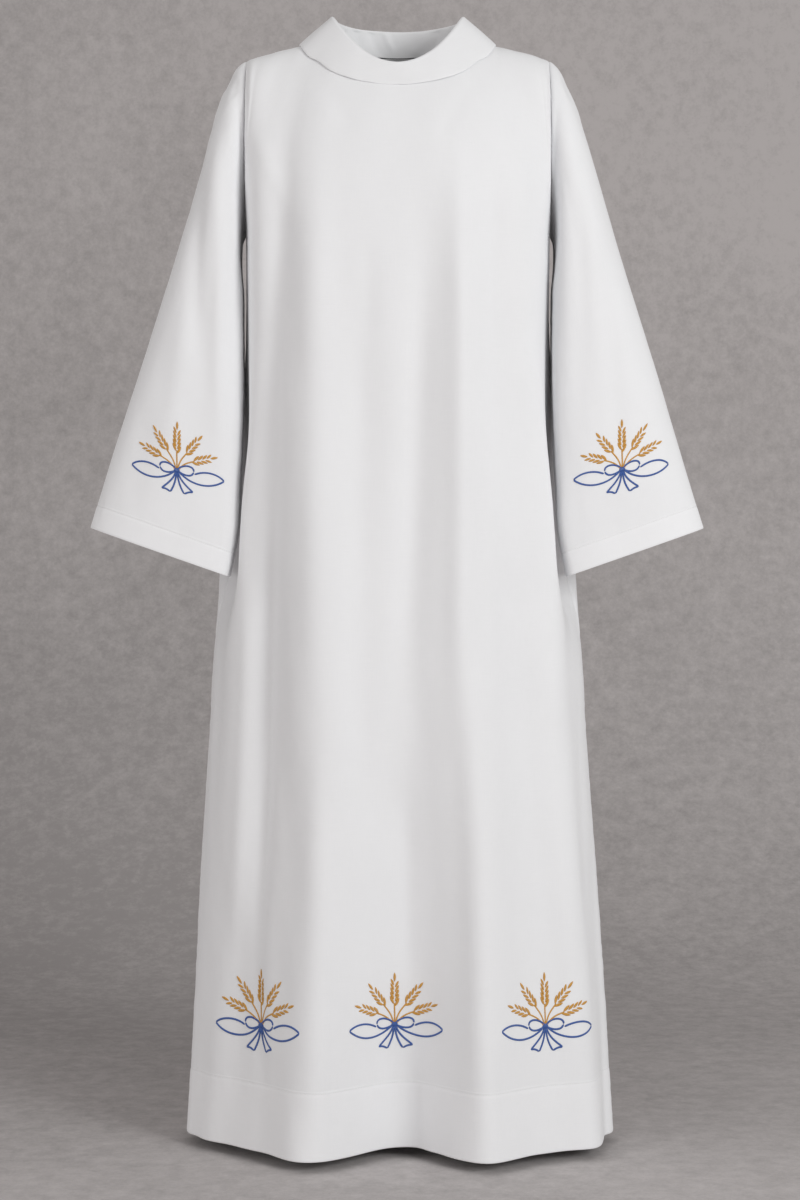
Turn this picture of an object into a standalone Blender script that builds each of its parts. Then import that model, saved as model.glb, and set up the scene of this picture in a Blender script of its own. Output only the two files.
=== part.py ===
"""Alb robe in its hollow worn form: front, back, two sleeves and a turned-down collar, each a cloth wall.

Metres, +Z up. The front of the robe faces -Y and +X is the wearer's left. The origin is on the centre line,
level with the top of the shoulders, where the wearer's shoulders carry the robe.
"""

import math

import bmesh
import bpy
import numpy as np

# ---------------------------------------------------------------- driving sizes
CLOTH = 0.0013  # wall of the panels and sleeves
COLLAR_CLOTH = 0.0022  # two layers of cloth with an interlining
SEAM_GAP = 0.0007
CLOTH_COLOUR = (0.80, 0.79, 0.78, 1)
CLOTH_ROUGHNESS = 0.85

SHOULDER_HALF_WIDTH = 0.2015
SHOULDER_TIP_Z = -0.0225
SHOULDER_RISE = 0.003  # how far the shoulder seam rises above a straight line from neck to tip
TOP_CENTRE_X = -0.003
ARMPIT_Z = -0.255
HEM_Z = -1.449
NECK_SHARE = 0.42  # share of the panel's half width that the neckline takes
CORNER_SPREAD = 0.15  # how far across the corner beside the neck is smoothed away
CORNER_FADE = 0.28  # and how far down the yoke it has gone

# A row for each level of the body, from the armpits down: half_width is at the side seams, front and back
# are the depths at the centre, side_y is where the side seam runs, fullness is the power that rounds the
# section (1 for an ellipse and less for a fuller one), and sleeve_rest is how far the hanging sleeve
# presses the cloth in beside it.
BODY_COLUMNS = ("z", "centre_x", "half_width", "front", "back", "side_y", "fullness", "sleeve_rest")
BODY_LEVELS = [
    (-0.255, -0.003, 0.2010, 0.130, 0.116, 0.004, 0.66, 0.000),
    (-0.290, -0.003, 0.2005, 0.133, 0.119, 0.010, 0.66, 0.000),
    (-0.340, -0.003, 0.2020, 0.136, 0.122, 0.020, 0.68, 0.002),
    (-0.400, -0.003, 0.2060, 0.138, 0.125, 0.032, 0.72, 0.005),
    (-0.474, -0.003, 0.2170, 0.140, 0.127, 0.044, 0.76, 0.015),
    (-0.600, -0.003, 0.2340, 0.144, 0.131, 0.050, 0.82, 0.036),
    (-0.690, -0.003, 0.2450, 0.147, 0.134, 0.048, 0.88, 0.051),
    (-0.760, -0.003, 0.2475, 0.149, 0.137, 0.038, 0.92, 0.016),
    (-0.860, -0.003, 0.2500, 0.151, 0.140, 0.026, 0.92, 0.000),
    (-1.100, -0.002, 0.2645, 0.153, 0.146, 0.012, 0.92, 0.000),
    (-1.300, 0.000, 0.2757, 0.154, 0.150, 0.004, 0.92, 0.000),
    (-1.449, 0.000, 0.2840, 0.155, 0.152, 0.000, 0.92, 0.000),
]
REST_AT = 0.84  # where across the half panel the sleeve presses, and over what share of it
REST_SPREAD = 0.27

# How the cloth leaves the neckline or shoulder seam and reaches the armpit level. across is the share of
# the half panel, start_side, start_out and start_down place the first handle of the curve, and end_up and
# end_out the second.
YOKE_COLUMNS = ("across", "start_side", "start_out", "start_down", "end_up", "end_out")
FRONT_YOKE = [
    (0.00, 0.000, 0.022, 0.046, 0.080, 0.000),
    (0.20, 0.010, 0.030, 0.038, 0.084, 0.000),
    (0.42, 0.014, 0.046, 0.008, 0.108, 0.000),
    (0.65, 0.006, 0.056, 0.003, 0.116, 0.006),
    (0.85, 0.001, 0.062, 0.003, 0.110, 0.030),
    (0.94, 0.000, 0.064, 0.003, 0.080, 0.062),
    (1.00, 0.000, 0.046, 0.004, 0.050, 0.056),
]
BACK_YOKE = [
    (0.00, 0.000, 0.024, 0.022, 0.120, 0.000),
    (0.20, 0.010, 0.032, 0.016, 0.120, 0.000),
    (0.42, 0.014, 0.054, 0.004, 0.128, 0.000),
    (0.65, 0.006, 0.060, 0.003, 0.124, 0.004),
    (0.85, 0.001, 0.060, 0.003, 0.110, 0.026),
    (0.94, 0.000, 0.060, 0.003, 0.080, 0.054),
    (1.00, 0.000, 0.046, 0.004, 0.050, 0.050),
]

# A row for each fold of the skirt: across is its place on the half panel (-1 and 1 are the side seams) at
# the top, at half height and at the hem, starts is where it begins, and out is how far it stands out
# there (or in, if less than 0) at half height and at the hem.
FOLD_COLUMNS = ("starts", "top", "middle", "hem", "width", "out_top", "out_middle", "out_hem")
MIDDLE_Z = -0.80
FOLD_START_RUN = 0.12  # the height over which a fold rises out of the plain cloth
FOLD_EDGE_FADE = 0.10  # the share of the half panel, beside the side seam, over which the folds die out
FRONT_FOLDS = [
    (-0.13, -0.27, -0.21, -0.24, 0.039, 0.005, 0.010, 0.032),
    (-0.17, -0.44, -0.44, -0.58, 0.034, -0.004, -0.009, -0.004),
    (-0.50, -0.64, -0.66, -0.86, 0.030, 0.004, 0.006, -0.006),
    (-0.60, -0.62, -0.62, -0.64, 0.078, 0.000, -0.002, -0.017),
    (-0.36, 0.02, 0.03, 0.01, 0.046, -0.001, -0.014, -0.064),
    (-0.13, 0.27, 0.28, 0.21, 0.044, 0.004, 0.009, 0.036),
    (-0.22, 0.42, 0.43, 0.44, 0.030, -0.003, -0.006, 0.002),
    (-0.50, 0.60, 0.60, 0.64, 0.034, 0.003, 0.006, 0.015),
    (-1.00, 0.86, 0.86, 0.87, 0.034, 0.000, 0.000, -0.010),
]
BACK_FOLDS = [
    (-0.30, -0.02, -0.03, -0.06, 0.046, 0.001, 0.010, 0.030),
    (-0.20, -0.22, -0.24, -0.30, 0.040, -0.004, -0.010, -0.034),
    (-0.40, -0.46, -0.50, -0.55, 0.044, 0.002, 0.008, 0.024),
    (-0.24, 0.20, 0.22, 0.24, 0.042, -0.004, -0.012, -0.036),
    (-0.16, 0.46, 0.44, 0.50, 0.044, 0.004, 0.010, 0.026),
    (-0.60, 0.74, 0.72, 0.76, 0.034, -0.002, -0.005, -0.012),
    (-0.60, -0.76, -0.74, -0.78, 0.034, -0.002, -0.005, -0.010),
]

# A row for each ring of a sleeve, from below the armpit, where along is 0, to the cuff, where it is 1:
# the outer and inner edge, both without their side's sign, the middle's y and the half depth from front
# to back.
SLEEVE_COLUMNS = ("along", "outer_x", "outer_z", "inner_x", "inner_z", "centre_y", "half_depth")
SLEEVE_RINGS = [
    (0.00, 0.3000, -0.300, 0.2040, -0.345, -0.006, 0.074),
    (0.31, 0.3330, -0.407, 0.2035, -0.466, -0.014, 0.064),
    (0.64, 0.3680, -0.523, 0.2070, -0.585, -0.021, 0.056),
    (0.84, 0.3880, -0.590, 0.2105, -0.653, -0.025, 0.052),
    (1.00, 0.4050, -0.646, 0.2222, -0.710, -0.027, 0.049),
]
SLEEVE_CENTRE_X = -0.003
SLEEVE_POWER = 0.94

# How a sleeve leaves the armhole: around is 0 at the shoulder tip and 1 at the armpit.
CAP_COLUMNS = ("around", "out", "forward", "down")
SLEEVE_CAP = [
    (0.00, 0.032, 0.000, 0.006),
    (0.25, 0.022, 0.022, 0.010),
    (0.50, 0.012, 0.034, 0.012),
    (0.75, 0.010, 0.026, 0.022),
    (1.00, 0.017, 0.000, 0.026),
]
CAP_END = 0.42  # the second handle's length, as a share of the way from armhole to first ring

# A row for each ring round the neck: the neckline's seam and the fold where the collar turns over. dip
# says how the ring falls from the side to the front and back: 1 is a straight slope and more starts level.
NECK_COLUMNS = ("half_width", "front_y", "back_y", "side_z", "front_z", "back_z", "dip")
NECKLINE = (0.090, -0.078, 0.075, 0.004, -0.062, -0.001, 1.70)
COLLAR_FOLD = (0.086, -0.070, 0.078, 0.036, -0.036, 0.036, 1.40)

# Where the collar's free edge lies on the panels: turn in degrees from the middle of the front to the
# middle of the back, across as a share of the half panel, and down from the top edge, where a place on
# the back panel is less than 0.
EDGE_COLUMNS = ("turn", "across", "down")
COLLAR_EDGE = [
    (0, 0.000, 0.068),
    (15, 0.090, 0.098),
    (30, 0.185, 0.165),
    (45, 0.300, 0.238),
    (60, 0.430, 0.250),
    (75, 0.530, 0.175),
    (90, 0.588, 0.000),
    (105, 0.540, -0.130),
    (120, 0.440, -0.190),
    (135, 0.315, -0.200),
    (150, 0.200, -0.175),
    (165, 0.095, -0.145),
    (180, 0.000, -0.130),
]
EDGE_LIFT = 0.0020  # how far the collar's middle face lies off the panels there
COLLAR_ROLL = 0.0030  # radius of the turn at the fold
COLLAR_LEAN = 0.6  # how far the roll stands outside the fold's ring, as a share of its radius
COLLAR_BULGE = 0.0002  # how far the fall rounds out between fold and edge
COLLAR_LIFT = 0.0010  # clearance of the stand above the neckline

PANEL_CELLS = (20, 10, 11, 17)  # along the neckline, along each shoulder, down the yoke, down the body
SLEEVE_CELLS = (20, 8, 9)  # round, along the cap, along the sleeve
COLLAR_CELLS = (40, 3, 4, 4)  # round, up the stand, over the roll, down the fall
NARROW = 0.16  # the narrow cell along an edge, as a share of a cell
SMALL_STEP = 0.002  # the step that a surface's direction is measured over


# ---------------------------------------------------------------- smooth curves through the tables
def smooth(at, known_at, known):
    """A smooth curve through the known values, without overshoot, read at each of the places."""
    known_at, known = np.asarray(known_at, float), np.asarray(known, float)
    if known_at[0] > known_at[-1]:
        known_at, known = known_at[::-1], known[::-1]
    step = np.diff(known_at)
    slope = np.diff(known) / step
    tangent = np.empty_like(known)
    tangent[0], tangent[-1] = slope[0], slope[-1]
    rising = slope[:-1] * slope[1:] > 0
    mean = (slope[:-1] * step[1:] + slope[1:] * step[:-1]) / (step[:-1] + step[1:])
    tangent[1:-1] = np.where(rising, mean, 0)
    at = np.clip(at, known_at[0], known_at[-1])
    cell = np.clip(np.searchsorted(known_at, at) - 1, 0, len(step) - 1)
    t = (at - known_at[cell]) / step[cell]
    return (
        known[cell] * (1 + 2 * t) * (1 - t) ** 2
        + known[cell + 1] * t * t * (3 - 2 * t)
        + step[cell] * tangent[cell] * t * (1 - t) ** 2
        - step[cell] * tangent[cell + 1] * t * t * (1 - t)
    )


def table_at(rows, columns, at):
    """A table's rows read smoothly at the given places of its first column, as a value per other column."""
    known = np.array(rows, float)
    return {name: smooth(at, known[:, 0], known[:, i]) for i, name in enumerate(columns) if i}


def bezier(start, first, second, end, t):
    t = t[..., None]
    return (
        start * (1 - t) ** 3
        + first * 3 * t * (1 - t) ** 2
        + second * 3 * t * t * (1 - t)
        + end * t**3
    )


def signed_power(value, power):
    return np.sign(value) * np.abs(value) ** power


def ease(value):
    """0 up to 0, 1 from 1 on, and a smooth rise between."""
    value = np.clip(value, 0, 1)
    return value * value * (3 - 2 * value)


def neck_ring(turn, ring):
    """A ring round the neck, where turn is 0 in front, half pi at the wearer's left and pi at the back."""
    size = dict(zip(NECK_COLUMNS, ring))
    ahead = np.cos(turn)
    y = np.where(ahead > 0, size["front_y"], size["back_y"]) * np.abs(ahead)
    low_z = np.where(ahead > 0, size["front_z"], size["back_z"])
    z = size["side_z"] + (low_z - size["side_z"]) * np.abs(ahead) ** size["dip"]
    return np.stack([TOP_CENTRE_X + size["half_width"] * np.sin(turn), y, z], axis=-1)


# ---------------------------------------------------------------- body
def fold_offset(folds, across, z, quarter):
    """How far the folds move the cloth out at this place."""
    offset = np.zeros(np.broadcast(across, z).shape)
    for row in folds:
        fold = dict(zip(FOLD_COLUMNS, row))
        heights = (HEM_Z, MIDDLE_Z, fold["starts"])
        place = smooth(z, heights, (fold["hem"], fold["middle"], fold["top"]))
        out = smooth(z, heights, (fold["out_hem"], fold["out_middle"], fold["out_top"]))
        begins = ease((fold["starts"] - z) / FOLD_START_RUN)
        away = (across - place) * quarter / fold["width"]
        offset += out * begins * np.exp(-away * away)
    return offset


def body_point(across, z, side):
    """The outer face below the armpits. across runs from -1 to 1 between the side seams, and side is -1 in
    front and 1 at the back."""
    across, z = np.broadcast_arrays(across, z)
    level = table_at(BODY_LEVELS, BODY_COLUMNS, z)
    depth = level["front"] + level["side_y"] if side < 0 else level["back"] - level["side_y"]
    turn = across * math.pi / 2
    x = level["half_width"] * signed_power(np.sin(turn), level["fullness"])
    y = side * depth * np.abs(np.cos(turn)) ** level["fullness"]
    quarter = math.pi / 2 * np.sqrt((level["half_width"] ** 2 + depth**2) / 2)
    folds = FRONT_FOLDS if side < 0 else BACK_FOLDS
    out = fold_offset(folds, across, z, quarter) * np.clip((1 - np.abs(across)) / FOLD_EDGE_FADE, 0, 1)
    normal_x, normal_y = x / level["half_width"] ** 2, y / depth**2
    length = np.sqrt(normal_x**2 + normal_y**2)
    x = x + out * normal_x / length
    y = y + out * normal_y / length
    round_at = np.abs(across) if side < 0 else 2 - np.abs(across)
    away = np.clip(np.abs(round_at - REST_AT) / REST_SPREAD, 0, 1)
    x = x - np.sign(across) * level["sleeve_rest"] * np.cos(away * math.pi / 2) ** 2
    return np.stack([level["centre_x"] + x, level["side_y"] + y, z], axis=-1)


def top_edge(across, side):
    """The neckline and the two shoulder seams, from tip to tip."""
    share = np.clip((np.abs(across) - NECK_SHARE) / (1 - NECK_SHARE), 0, 1)
    turn = np.clip(across / NECK_SHARE, -1, 1) * math.pi / 2
    neckline = neck_ring(turn if side < 0 else math.pi - turn, NECKLINE)
    neck_side = neck_ring(np.sign(across) * math.pi / 2, NECKLINE)
    tip_x = TOP_CENTRE_X + np.sign(across) * SHOULDER_HALF_WIDTH
    tip = np.stack([tip_x, 0 * across, 0 * across + SHOULDER_TIP_Z], axis=-1)
    along = (np.sin(share * math.pi / 2) + share)[..., None] / 2
    shoulder = neck_side * (1 - along) + tip * along
    shoulder[..., 2] += SHOULDER_RISE * np.sin(along[..., 0] * math.pi)
    return np.where((np.abs(across) < NECK_SHARE)[..., None], neckline, shoulder)


def softened_edge(across, side):
    """The top edge with the corner beside the neck smoothed away."""
    near = ease(1.5 - np.abs(np.abs(across) - NECK_SHARE) / CORNER_SPREAD)
    steps = np.linspace(-1, 1, 13)
    weights = (1 - steps**2) ** 2
    total = sum(w * top_edge(across + s * CORNER_SPREAD * near, side) for s, w in zip(steps, weights))
    return total / weights.sum()


def yoke_point(across, t, side):
    """The outer face from the top edge, at t = 0, to the armpit level, at t = 1."""
    across, t = np.broadcast_arrays(across, t)
    table = FRONT_YOKE if side < 0 else BACK_YOKE
    size = table_at(table, YOKE_COLUMNS, np.abs(across))
    start = softened_edge(across, side)
    corner = (top_edge(across, side) - start) * ease(1 - t / CORNER_FADE)[..., None]
    end = body_point(across, np.full(across.shape, ARMPIT_Z), side)
    below = body_point(across, np.full(across.shape, ARMPIT_Z - SMALL_STEP), side)
    rise = (end - below) / SMALL_STEP
    first = start + np.stack(
        [np.sign(across) * size["start_side"], side * size["start_out"], -size["start_down"]], axis=-1
    )
    second = end + rise * size["end_up"][..., None]
    second[..., 1] += side * size["end_out"]
    return bezier(start, first, second, end, t) + corner


def panel_point(across, down, side):
    """down runs from 0 at the top edge through 1 at the armpits to 2 at the hem."""
    across, down = np.broadcast_arrays(across, down)
    yoke = yoke_point(across, np.clip(down, 0, 1), side)
    z = ARMPIT_Z + (HEM_Z - ARMPIT_Z) * np.clip(down - 1, 0, 1)
    point = np.where((down < 1)[..., None], yoke, body_point(across, z, side))
    point[..., 1] += side * SEAM_GAP / 2
    return point


# ---------------------------------------------------------------- sleeves
def armhole_point(around, hand):
    """The armhole's seam. around runs from 0 at the shoulder tip over the front to the armpit at 1 and up the
    back to 2, and hand is -1 for the wearer's right sleeve and 1 for the left."""
    front = yoke_point(np.full(around.shape, float(hand)), np.clip(around, 0, 1), -1)
    back = yoke_point(np.full(around.shape, float(hand)), np.clip(2 - around, 0, 1), 1)
    point = np.where((around <= 1)[..., None], front, back)
    point[..., 0] += hand * SEAM_GAP / 2
    return point


def sleeve_ring(around, along, hand):
    """The sleeve below the armpit, where along runs from 0 at its first ring to 1 at the cuff."""
    around, along = np.broadcast_arrays(around, along)
    ring = table_at(SLEEVE_RINGS, SLEEVE_COLUMNS, along)
    side = signed_power(np.cos(around * math.pi), SLEEVE_POWER)
    front = signed_power(np.sin(around * math.pi), SLEEVE_POWER)
    x = (ring["outer_x"] + ring["inner_x"]) / 2 + side * (ring["outer_x"] - ring["inner_x"]) / 2
    z = (ring["outer_z"] + ring["inner_z"]) / 2 + side * (ring["outer_z"] - ring["inner_z"]) / 2
    return np.stack([SLEEVE_CENTRE_X + hand * x, ring["centre_y"] - front * ring["half_depth"], z], axis=-1)


def sleeve_point(around, along, hand):
    """along runs from 0 at the armhole through 1 below the armpit to 2 at the cuff."""
    around, along = np.broadcast_arrays(around, along)
    half = np.minimum(around, 2 - around)
    cap = table_at(SLEEVE_CAP, CAP_COLUMNS, half)
    start = armhole_point(around, hand)
    facing = np.where(around <= 1, -1, 1)
    first = start + np.stack([hand * cap["out"], facing * cap["forward"], -cap["down"]], axis=-1)
    end = sleeve_ring(around, np.zeros(around.shape), hand)
    run = sleeve_ring(around, np.full(around.shape, SMALL_STEP), hand) - end
    run /= np.linalg.norm(run, axis=-1, keepdims=True)
    reach = np.linalg.norm(end - start, axis=-1, keepdims=True)
    top = bezier(start, first, end - run * reach * CAP_END, end, np.clip(along, 0, 1))
    return np.where((along < 1)[..., None], top, sleeve_ring(around, np.clip(along - 1, 0, 1), hand))


# ---------------------------------------------------------------- collar
def collar_edge(turn):
    """The collar's free edge, which lies on the panels."""
    half = np.degrees(np.abs((turn + math.pi) % (2 * math.pi) - math.pi))
    place = table_at(COLLAR_EDGE, EDGE_COLUMNS, half)
    across, down = np.sign(np.sin(turn)) * place["across"], np.abs(place["down"])
    points = []
    for side in (-1, 1):
        middle = panel_point(across, down, side)
        along = panel_point(across + SMALL_STEP, down, side) - middle
        below = panel_point(across, down + SMALL_STEP, side) - middle
        normal = side * np.cross(along, below)
        points.append(middle + EDGE_LIFT * normal / np.linalg.norm(normal, axis=-1, keepdims=True))
    return np.where((place["down"] > 0)[..., None], *points)


def touching_turn(place, middle, outward, hand):
    """The turn, about the roll's middle, at which a line from the place touches the roll."""
    offset = place - middle
    out, rise = np.sum(offset * outward, axis=-1), offset[..., 2]
    return np.arctan2(rise, out) + hand * np.arccos(COLLAR_ROLL / np.hypot(out, rise))


def collar_point(turn, across):
    """across runs from 0 at the neckline up the stand to 1, over the roll to 2, and down the fall to 3."""
    turn, across = np.broadcast_arrays(turn, across)
    up = np.array([0, 0, 1.0])
    seam = neck_ring(turn, NECKLINE) + up * COLLAR_LIFT
    fold = neck_ring(turn, COLLAR_FOLD)
    edge = collar_edge(turn)
    outward = edge - fold
    outward[..., 2] = 0
    outward /= np.linalg.norm(outward, axis=-1, keepdims=True)
    middle = fold - up * COLLAR_ROLL + outward * COLLAR_ROLL * COLLAR_LEAN
    starts = touching_turn(seam, middle, outward, -1) % (2 * math.pi)
    ends = touching_turn(edge, middle, outward, 1)
    share = np.clip(across - 1, 0, 1)
    turned = starts * (1 - share) + ends * share
    roll = middle + COLLAR_ROLL * (outward * np.cos(turned)[..., None] + up * np.sin(turned)[..., None])
    t = np.clip(across, 0, 1)[..., None]
    stand = seam * (1 - t) + roll * t
    t = np.clip(across - 2, 0, 1)[..., None]
    fall = roll * (1 - t) + edge * t + (outward + up) * COLLAR_BULGE * np.sin(t * math.pi)
    return np.where((across < 1)[..., None], stand, np.where((across < 2)[..., None], roll, fall))


# ---------------------------------------------------------------- meshes
def spaced(start, end, cells, narrow_start=False, narrow_end=False):
    """Places from start to end, with a narrow cell along an edge so that walls meet squarely at the seam."""
    places = np.linspace(0, 1, cells + 1 - narrow_start - narrow_end)
    if narrow_start:
        places = np.insert(places, 1, places[1] * NARROW)
    if narrow_end:
        places = np.insert(places, -1, 1 - (1 - places[-2]) * NARROW)
    return start + (end - start) * places


def cloth_material(name):
    material = bpy.data.materials.new(name)
    material.use_nodes = True
    shader = material.node_tree.nodes["Principled BSDF"]
    shader.inputs["Base Color"].default_value = CLOTH_COLOUR
    shader.inputs["Roughness"].default_value = CLOTH_ROUGHNESS
    return material


def cloth_wall(name, points, closed, wall, offset=-1.0):
    """A sheet through rows of points, thickened to a wall on its inner side. The sheet's outer side is the
    one from which its rows run down as its columns run right. closed joins its last column to its first."""
    mesh = bpy.data.meshes.new(name)
    rows, columns = points.shape[:2]
    sheet = bmesh.new()
    verts = [[sheet.verts.new(point) for point in row] for row in points]
    for i in range(rows - 1):
        for j in range(columns if closed else columns - 1):
            k = (j + 1) % columns
            sheet.faces.new((verts[i][j], verts[i + 1][j], verts[i + 1][k], verts[i][k]))
    sheet.to_mesh(mesh)
    sheet.free()
    mesh.materials.append(cloth_material(name))
    mesh.shade_smooth()
    obj = bpy.data.objects.new(name, mesh)
    thick = obj.modifiers.new("Wall", "SOLIDIFY")
    thick.thickness = wall
    thick.offset = offset
    return obj


def panel(name, side):
    neck_cells, shoulder_cells, yoke_cells, body_cells = PANEL_CELLS
    neck = spaced(-NECK_SHARE, NECK_SHARE, neck_cells)
    shoulder = spaced(NECK_SHARE, 1, shoulder_cells, narrow_end=True)[1:]
    across = np.concatenate([-shoulder[::-1], neck, shoulder])
    down = np.concatenate([spaced(0, 1, yoke_cells, True), spaced(1, 2, body_cells)[1:]])
    points = panel_point(-side * across[None, :], down[:, None], side)
    return cloth_wall(name, points, False, CLOTH)


def sleeve(name, hand):
    round_cells, cap_cells, length_cells = SLEEVE_CELLS
    around = np.arange(round_cells) * 2 / round_cells
    along = np.concatenate([spaced(0, 1, cap_cells, True), spaced(1, 2, length_cells)[1:]])
    points = sleeve_point(around[None, :], along[:, None], hand)
    return cloth_wall(name, points[:, ::-hand], True, CLOTH)


def collar(name):
    round_cells, stand_cells, roll_cells, fall_cells = COLLAR_CELLS
    turn = np.arange(round_cells) * 2 * math.pi / round_cells
    across = np.concatenate(
        [spaced(0, 1, stand_cells), spaced(1, 2, roll_cells)[1:], spaced(2, 3, fall_cells)[1:]]
    )
    points = collar_point(turn[None, :], across[:, None])
    return cloth_wall(name, points[:, ::-1], True, COLLAR_CLOTH, 0.0)


def main():
    for obj in list(bpy.data.objects):
        bpy.data.objects.remove(obj)
    robe = bpy.data.collections.new("alb_robe")
    bpy.context.scene.collection.children.link(robe)
    carrier = bpy.data.objects.new("wearer_shoulders", None)
    robe.objects.link(carrier)
    pieces = [
        panel("front", -1),
        panel("back", 1),
        sleeve("sleeve_right", -1),
        sleeve("sleeve_left", 1),
        collar("collar"),
    ]
    for piece in pieces:
        piece.parent = carrier
        robe.objects.link(piece)


main()
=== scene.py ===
"""Dresses the alb robe: shells of cloth with their creases and seams, the hem stitching and the embroidery.

Metres, +Z up. The front of the robe faces -Y, and +X is the wearer's left. Each shell is worked out on the
form of the piece it stands for, with folds, creases and seams laid on it from the tables below.
"""

import math
from collections import namedtuple

import bmesh
import bpy
import numpy as np
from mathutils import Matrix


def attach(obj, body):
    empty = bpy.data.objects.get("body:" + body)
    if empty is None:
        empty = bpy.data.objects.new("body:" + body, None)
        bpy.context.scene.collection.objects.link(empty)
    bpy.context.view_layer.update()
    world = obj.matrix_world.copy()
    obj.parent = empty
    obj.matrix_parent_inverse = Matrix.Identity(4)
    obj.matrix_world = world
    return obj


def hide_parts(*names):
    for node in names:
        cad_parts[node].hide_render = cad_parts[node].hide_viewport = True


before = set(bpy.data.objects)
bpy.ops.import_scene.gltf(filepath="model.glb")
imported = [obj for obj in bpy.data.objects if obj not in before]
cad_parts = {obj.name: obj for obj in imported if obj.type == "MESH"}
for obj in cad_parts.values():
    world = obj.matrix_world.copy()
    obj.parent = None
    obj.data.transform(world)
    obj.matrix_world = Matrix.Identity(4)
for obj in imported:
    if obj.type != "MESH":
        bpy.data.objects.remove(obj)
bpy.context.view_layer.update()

bl_info = {
    "name": "Alb Robe",
    "version": (1, 0, 0),
    "blender": (4, 5, 0),
    "location": "3D View > Sidebar > Alb Robe",
    "description": "Makes a white alb with creased cloth, stitched hems and embroidery",
    "category": "Object",
}

# ---------------- the robe's form
SHOULDER_HALF_WIDTH = 0.2015
SHOULDER_TIP_Z = -0.0225
SHOULDER_RISE = 0.003  # how far the shoulder seam rises above a straight line from neck to tip
TOP_CENTRE_X = -0.003
ARMPIT_Z = -0.255
HEM_Z = -1.449
NECK_SHARE = 0.42  # share of the panel's half width that the neckline takes
SEAM_GAP = 0.0001  # between two shells at a seam
CORNER_SPREAD = 0.15  # how far across the corner beside the neck is smoothed away
CORNER_FADE = 0.28  # and how far down the yoke it has gone

# A row for each level of the body, from the armpits down: half_width is at the side seams, front and back
# are the depths at the centre, side_y is where the side seam runs, fullness is the power that rounds the
# section (1 for an ellipse and less for a fuller one), and sleeve_rest is how far the hanging sleeve
# presses the cloth in beside it.
BODY_COLUMNS = ("z", "centre_x", "half_width", "front", "back", "side_y", "fullness", "sleeve_rest")
BODY_LEVELS = [
    (-0.255, -0.003, 0.2010, 0.130, 0.116, 0.004, 0.66, 0.000),
    (-0.290, -0.003, 0.2005, 0.133, 0.119, 0.010, 0.66, 0.000),
    (-0.340, -0.003, 0.2020, 0.136, 0.122, 0.020, 0.68, 0.002),
    (-0.400, -0.003, 0.2060, 0.138, 0.125, 0.032, 0.72, 0.005),
    (-0.474, -0.003, 0.2170, 0.140, 0.127, 0.044, 0.76, 0.015),
    (-0.600, -0.003, 0.2340, 0.144, 0.131, 0.050, 0.82, 0.036),
    (-0.690, -0.003, 0.2450, 0.147, 0.134, 0.048, 0.88, 0.051),
    (-0.760, -0.003, 0.2475, 0.149, 0.137, 0.038, 0.92, 0.016),
    (-0.860, -0.003, 0.2500, 0.151, 0.140, 0.026, 0.92, 0.000),
    (-1.100, -0.002, 0.2645, 0.153, 0.146, 0.012, 0.92, 0.000),
    (-1.300, 0.000, 0.2757, 0.154, 0.150, 0.004, 0.92, 0.000),
    (-1.449, 0.000, 0.2840, 0.155, 0.152, 0.000, 0.92, 0.000),
]
REST_AT = 0.84  # where across the half panel the sleeve presses
REST_SPREAD = 0.27  # and over what share of it

# How the cloth leaves the neckline or shoulder seam and reaches the armpit level. across is the share of
# the half panel, start_side, start_out and start_down place the first handle of the curve, and end_up and
# end_out the second.
YOKE_COLUMNS = ("across", "start_side", "start_out", "start_down", "end_up", "end_out")
FRONT_YOKE = [
    (0.00, 0.000, 0.022, 0.046, 0.080, 0.000),
    (0.20, 0.010, 0.030, 0.038, 0.084, 0.000),
    (0.42, 0.014, 0.046, 0.008, 0.108, 0.000),
    (0.65, 0.006, 0.056, 0.003, 0.116, 0.006),
    (0.85, 0.001, 0.062, 0.003, 0.110, 0.034),
    (0.94, 0.000, 0.061, 0.003, 0.080, 0.056),
    (1.00, 0.000, 0.046, 0.004, 0.050, 0.056),
]
BACK_YOKE = [
    (0.00, 0.000, 0.024, 0.022, 0.120, 0.000),
    (0.20, 0.010, 0.032, 0.016, 0.120, 0.000),
    (0.42, 0.014, 0.054, 0.004, 0.128, 0.000),
    (0.65, 0.006, 0.060, 0.003, 0.124, 0.004),
    (0.85, 0.001, 0.060, 0.003, 0.110, 0.026),
    (0.94, 0.000, 0.060, 0.003, 0.080, 0.054),
    (1.00, 0.000, 0.046, 0.004, 0.050, 0.050),
]

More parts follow.
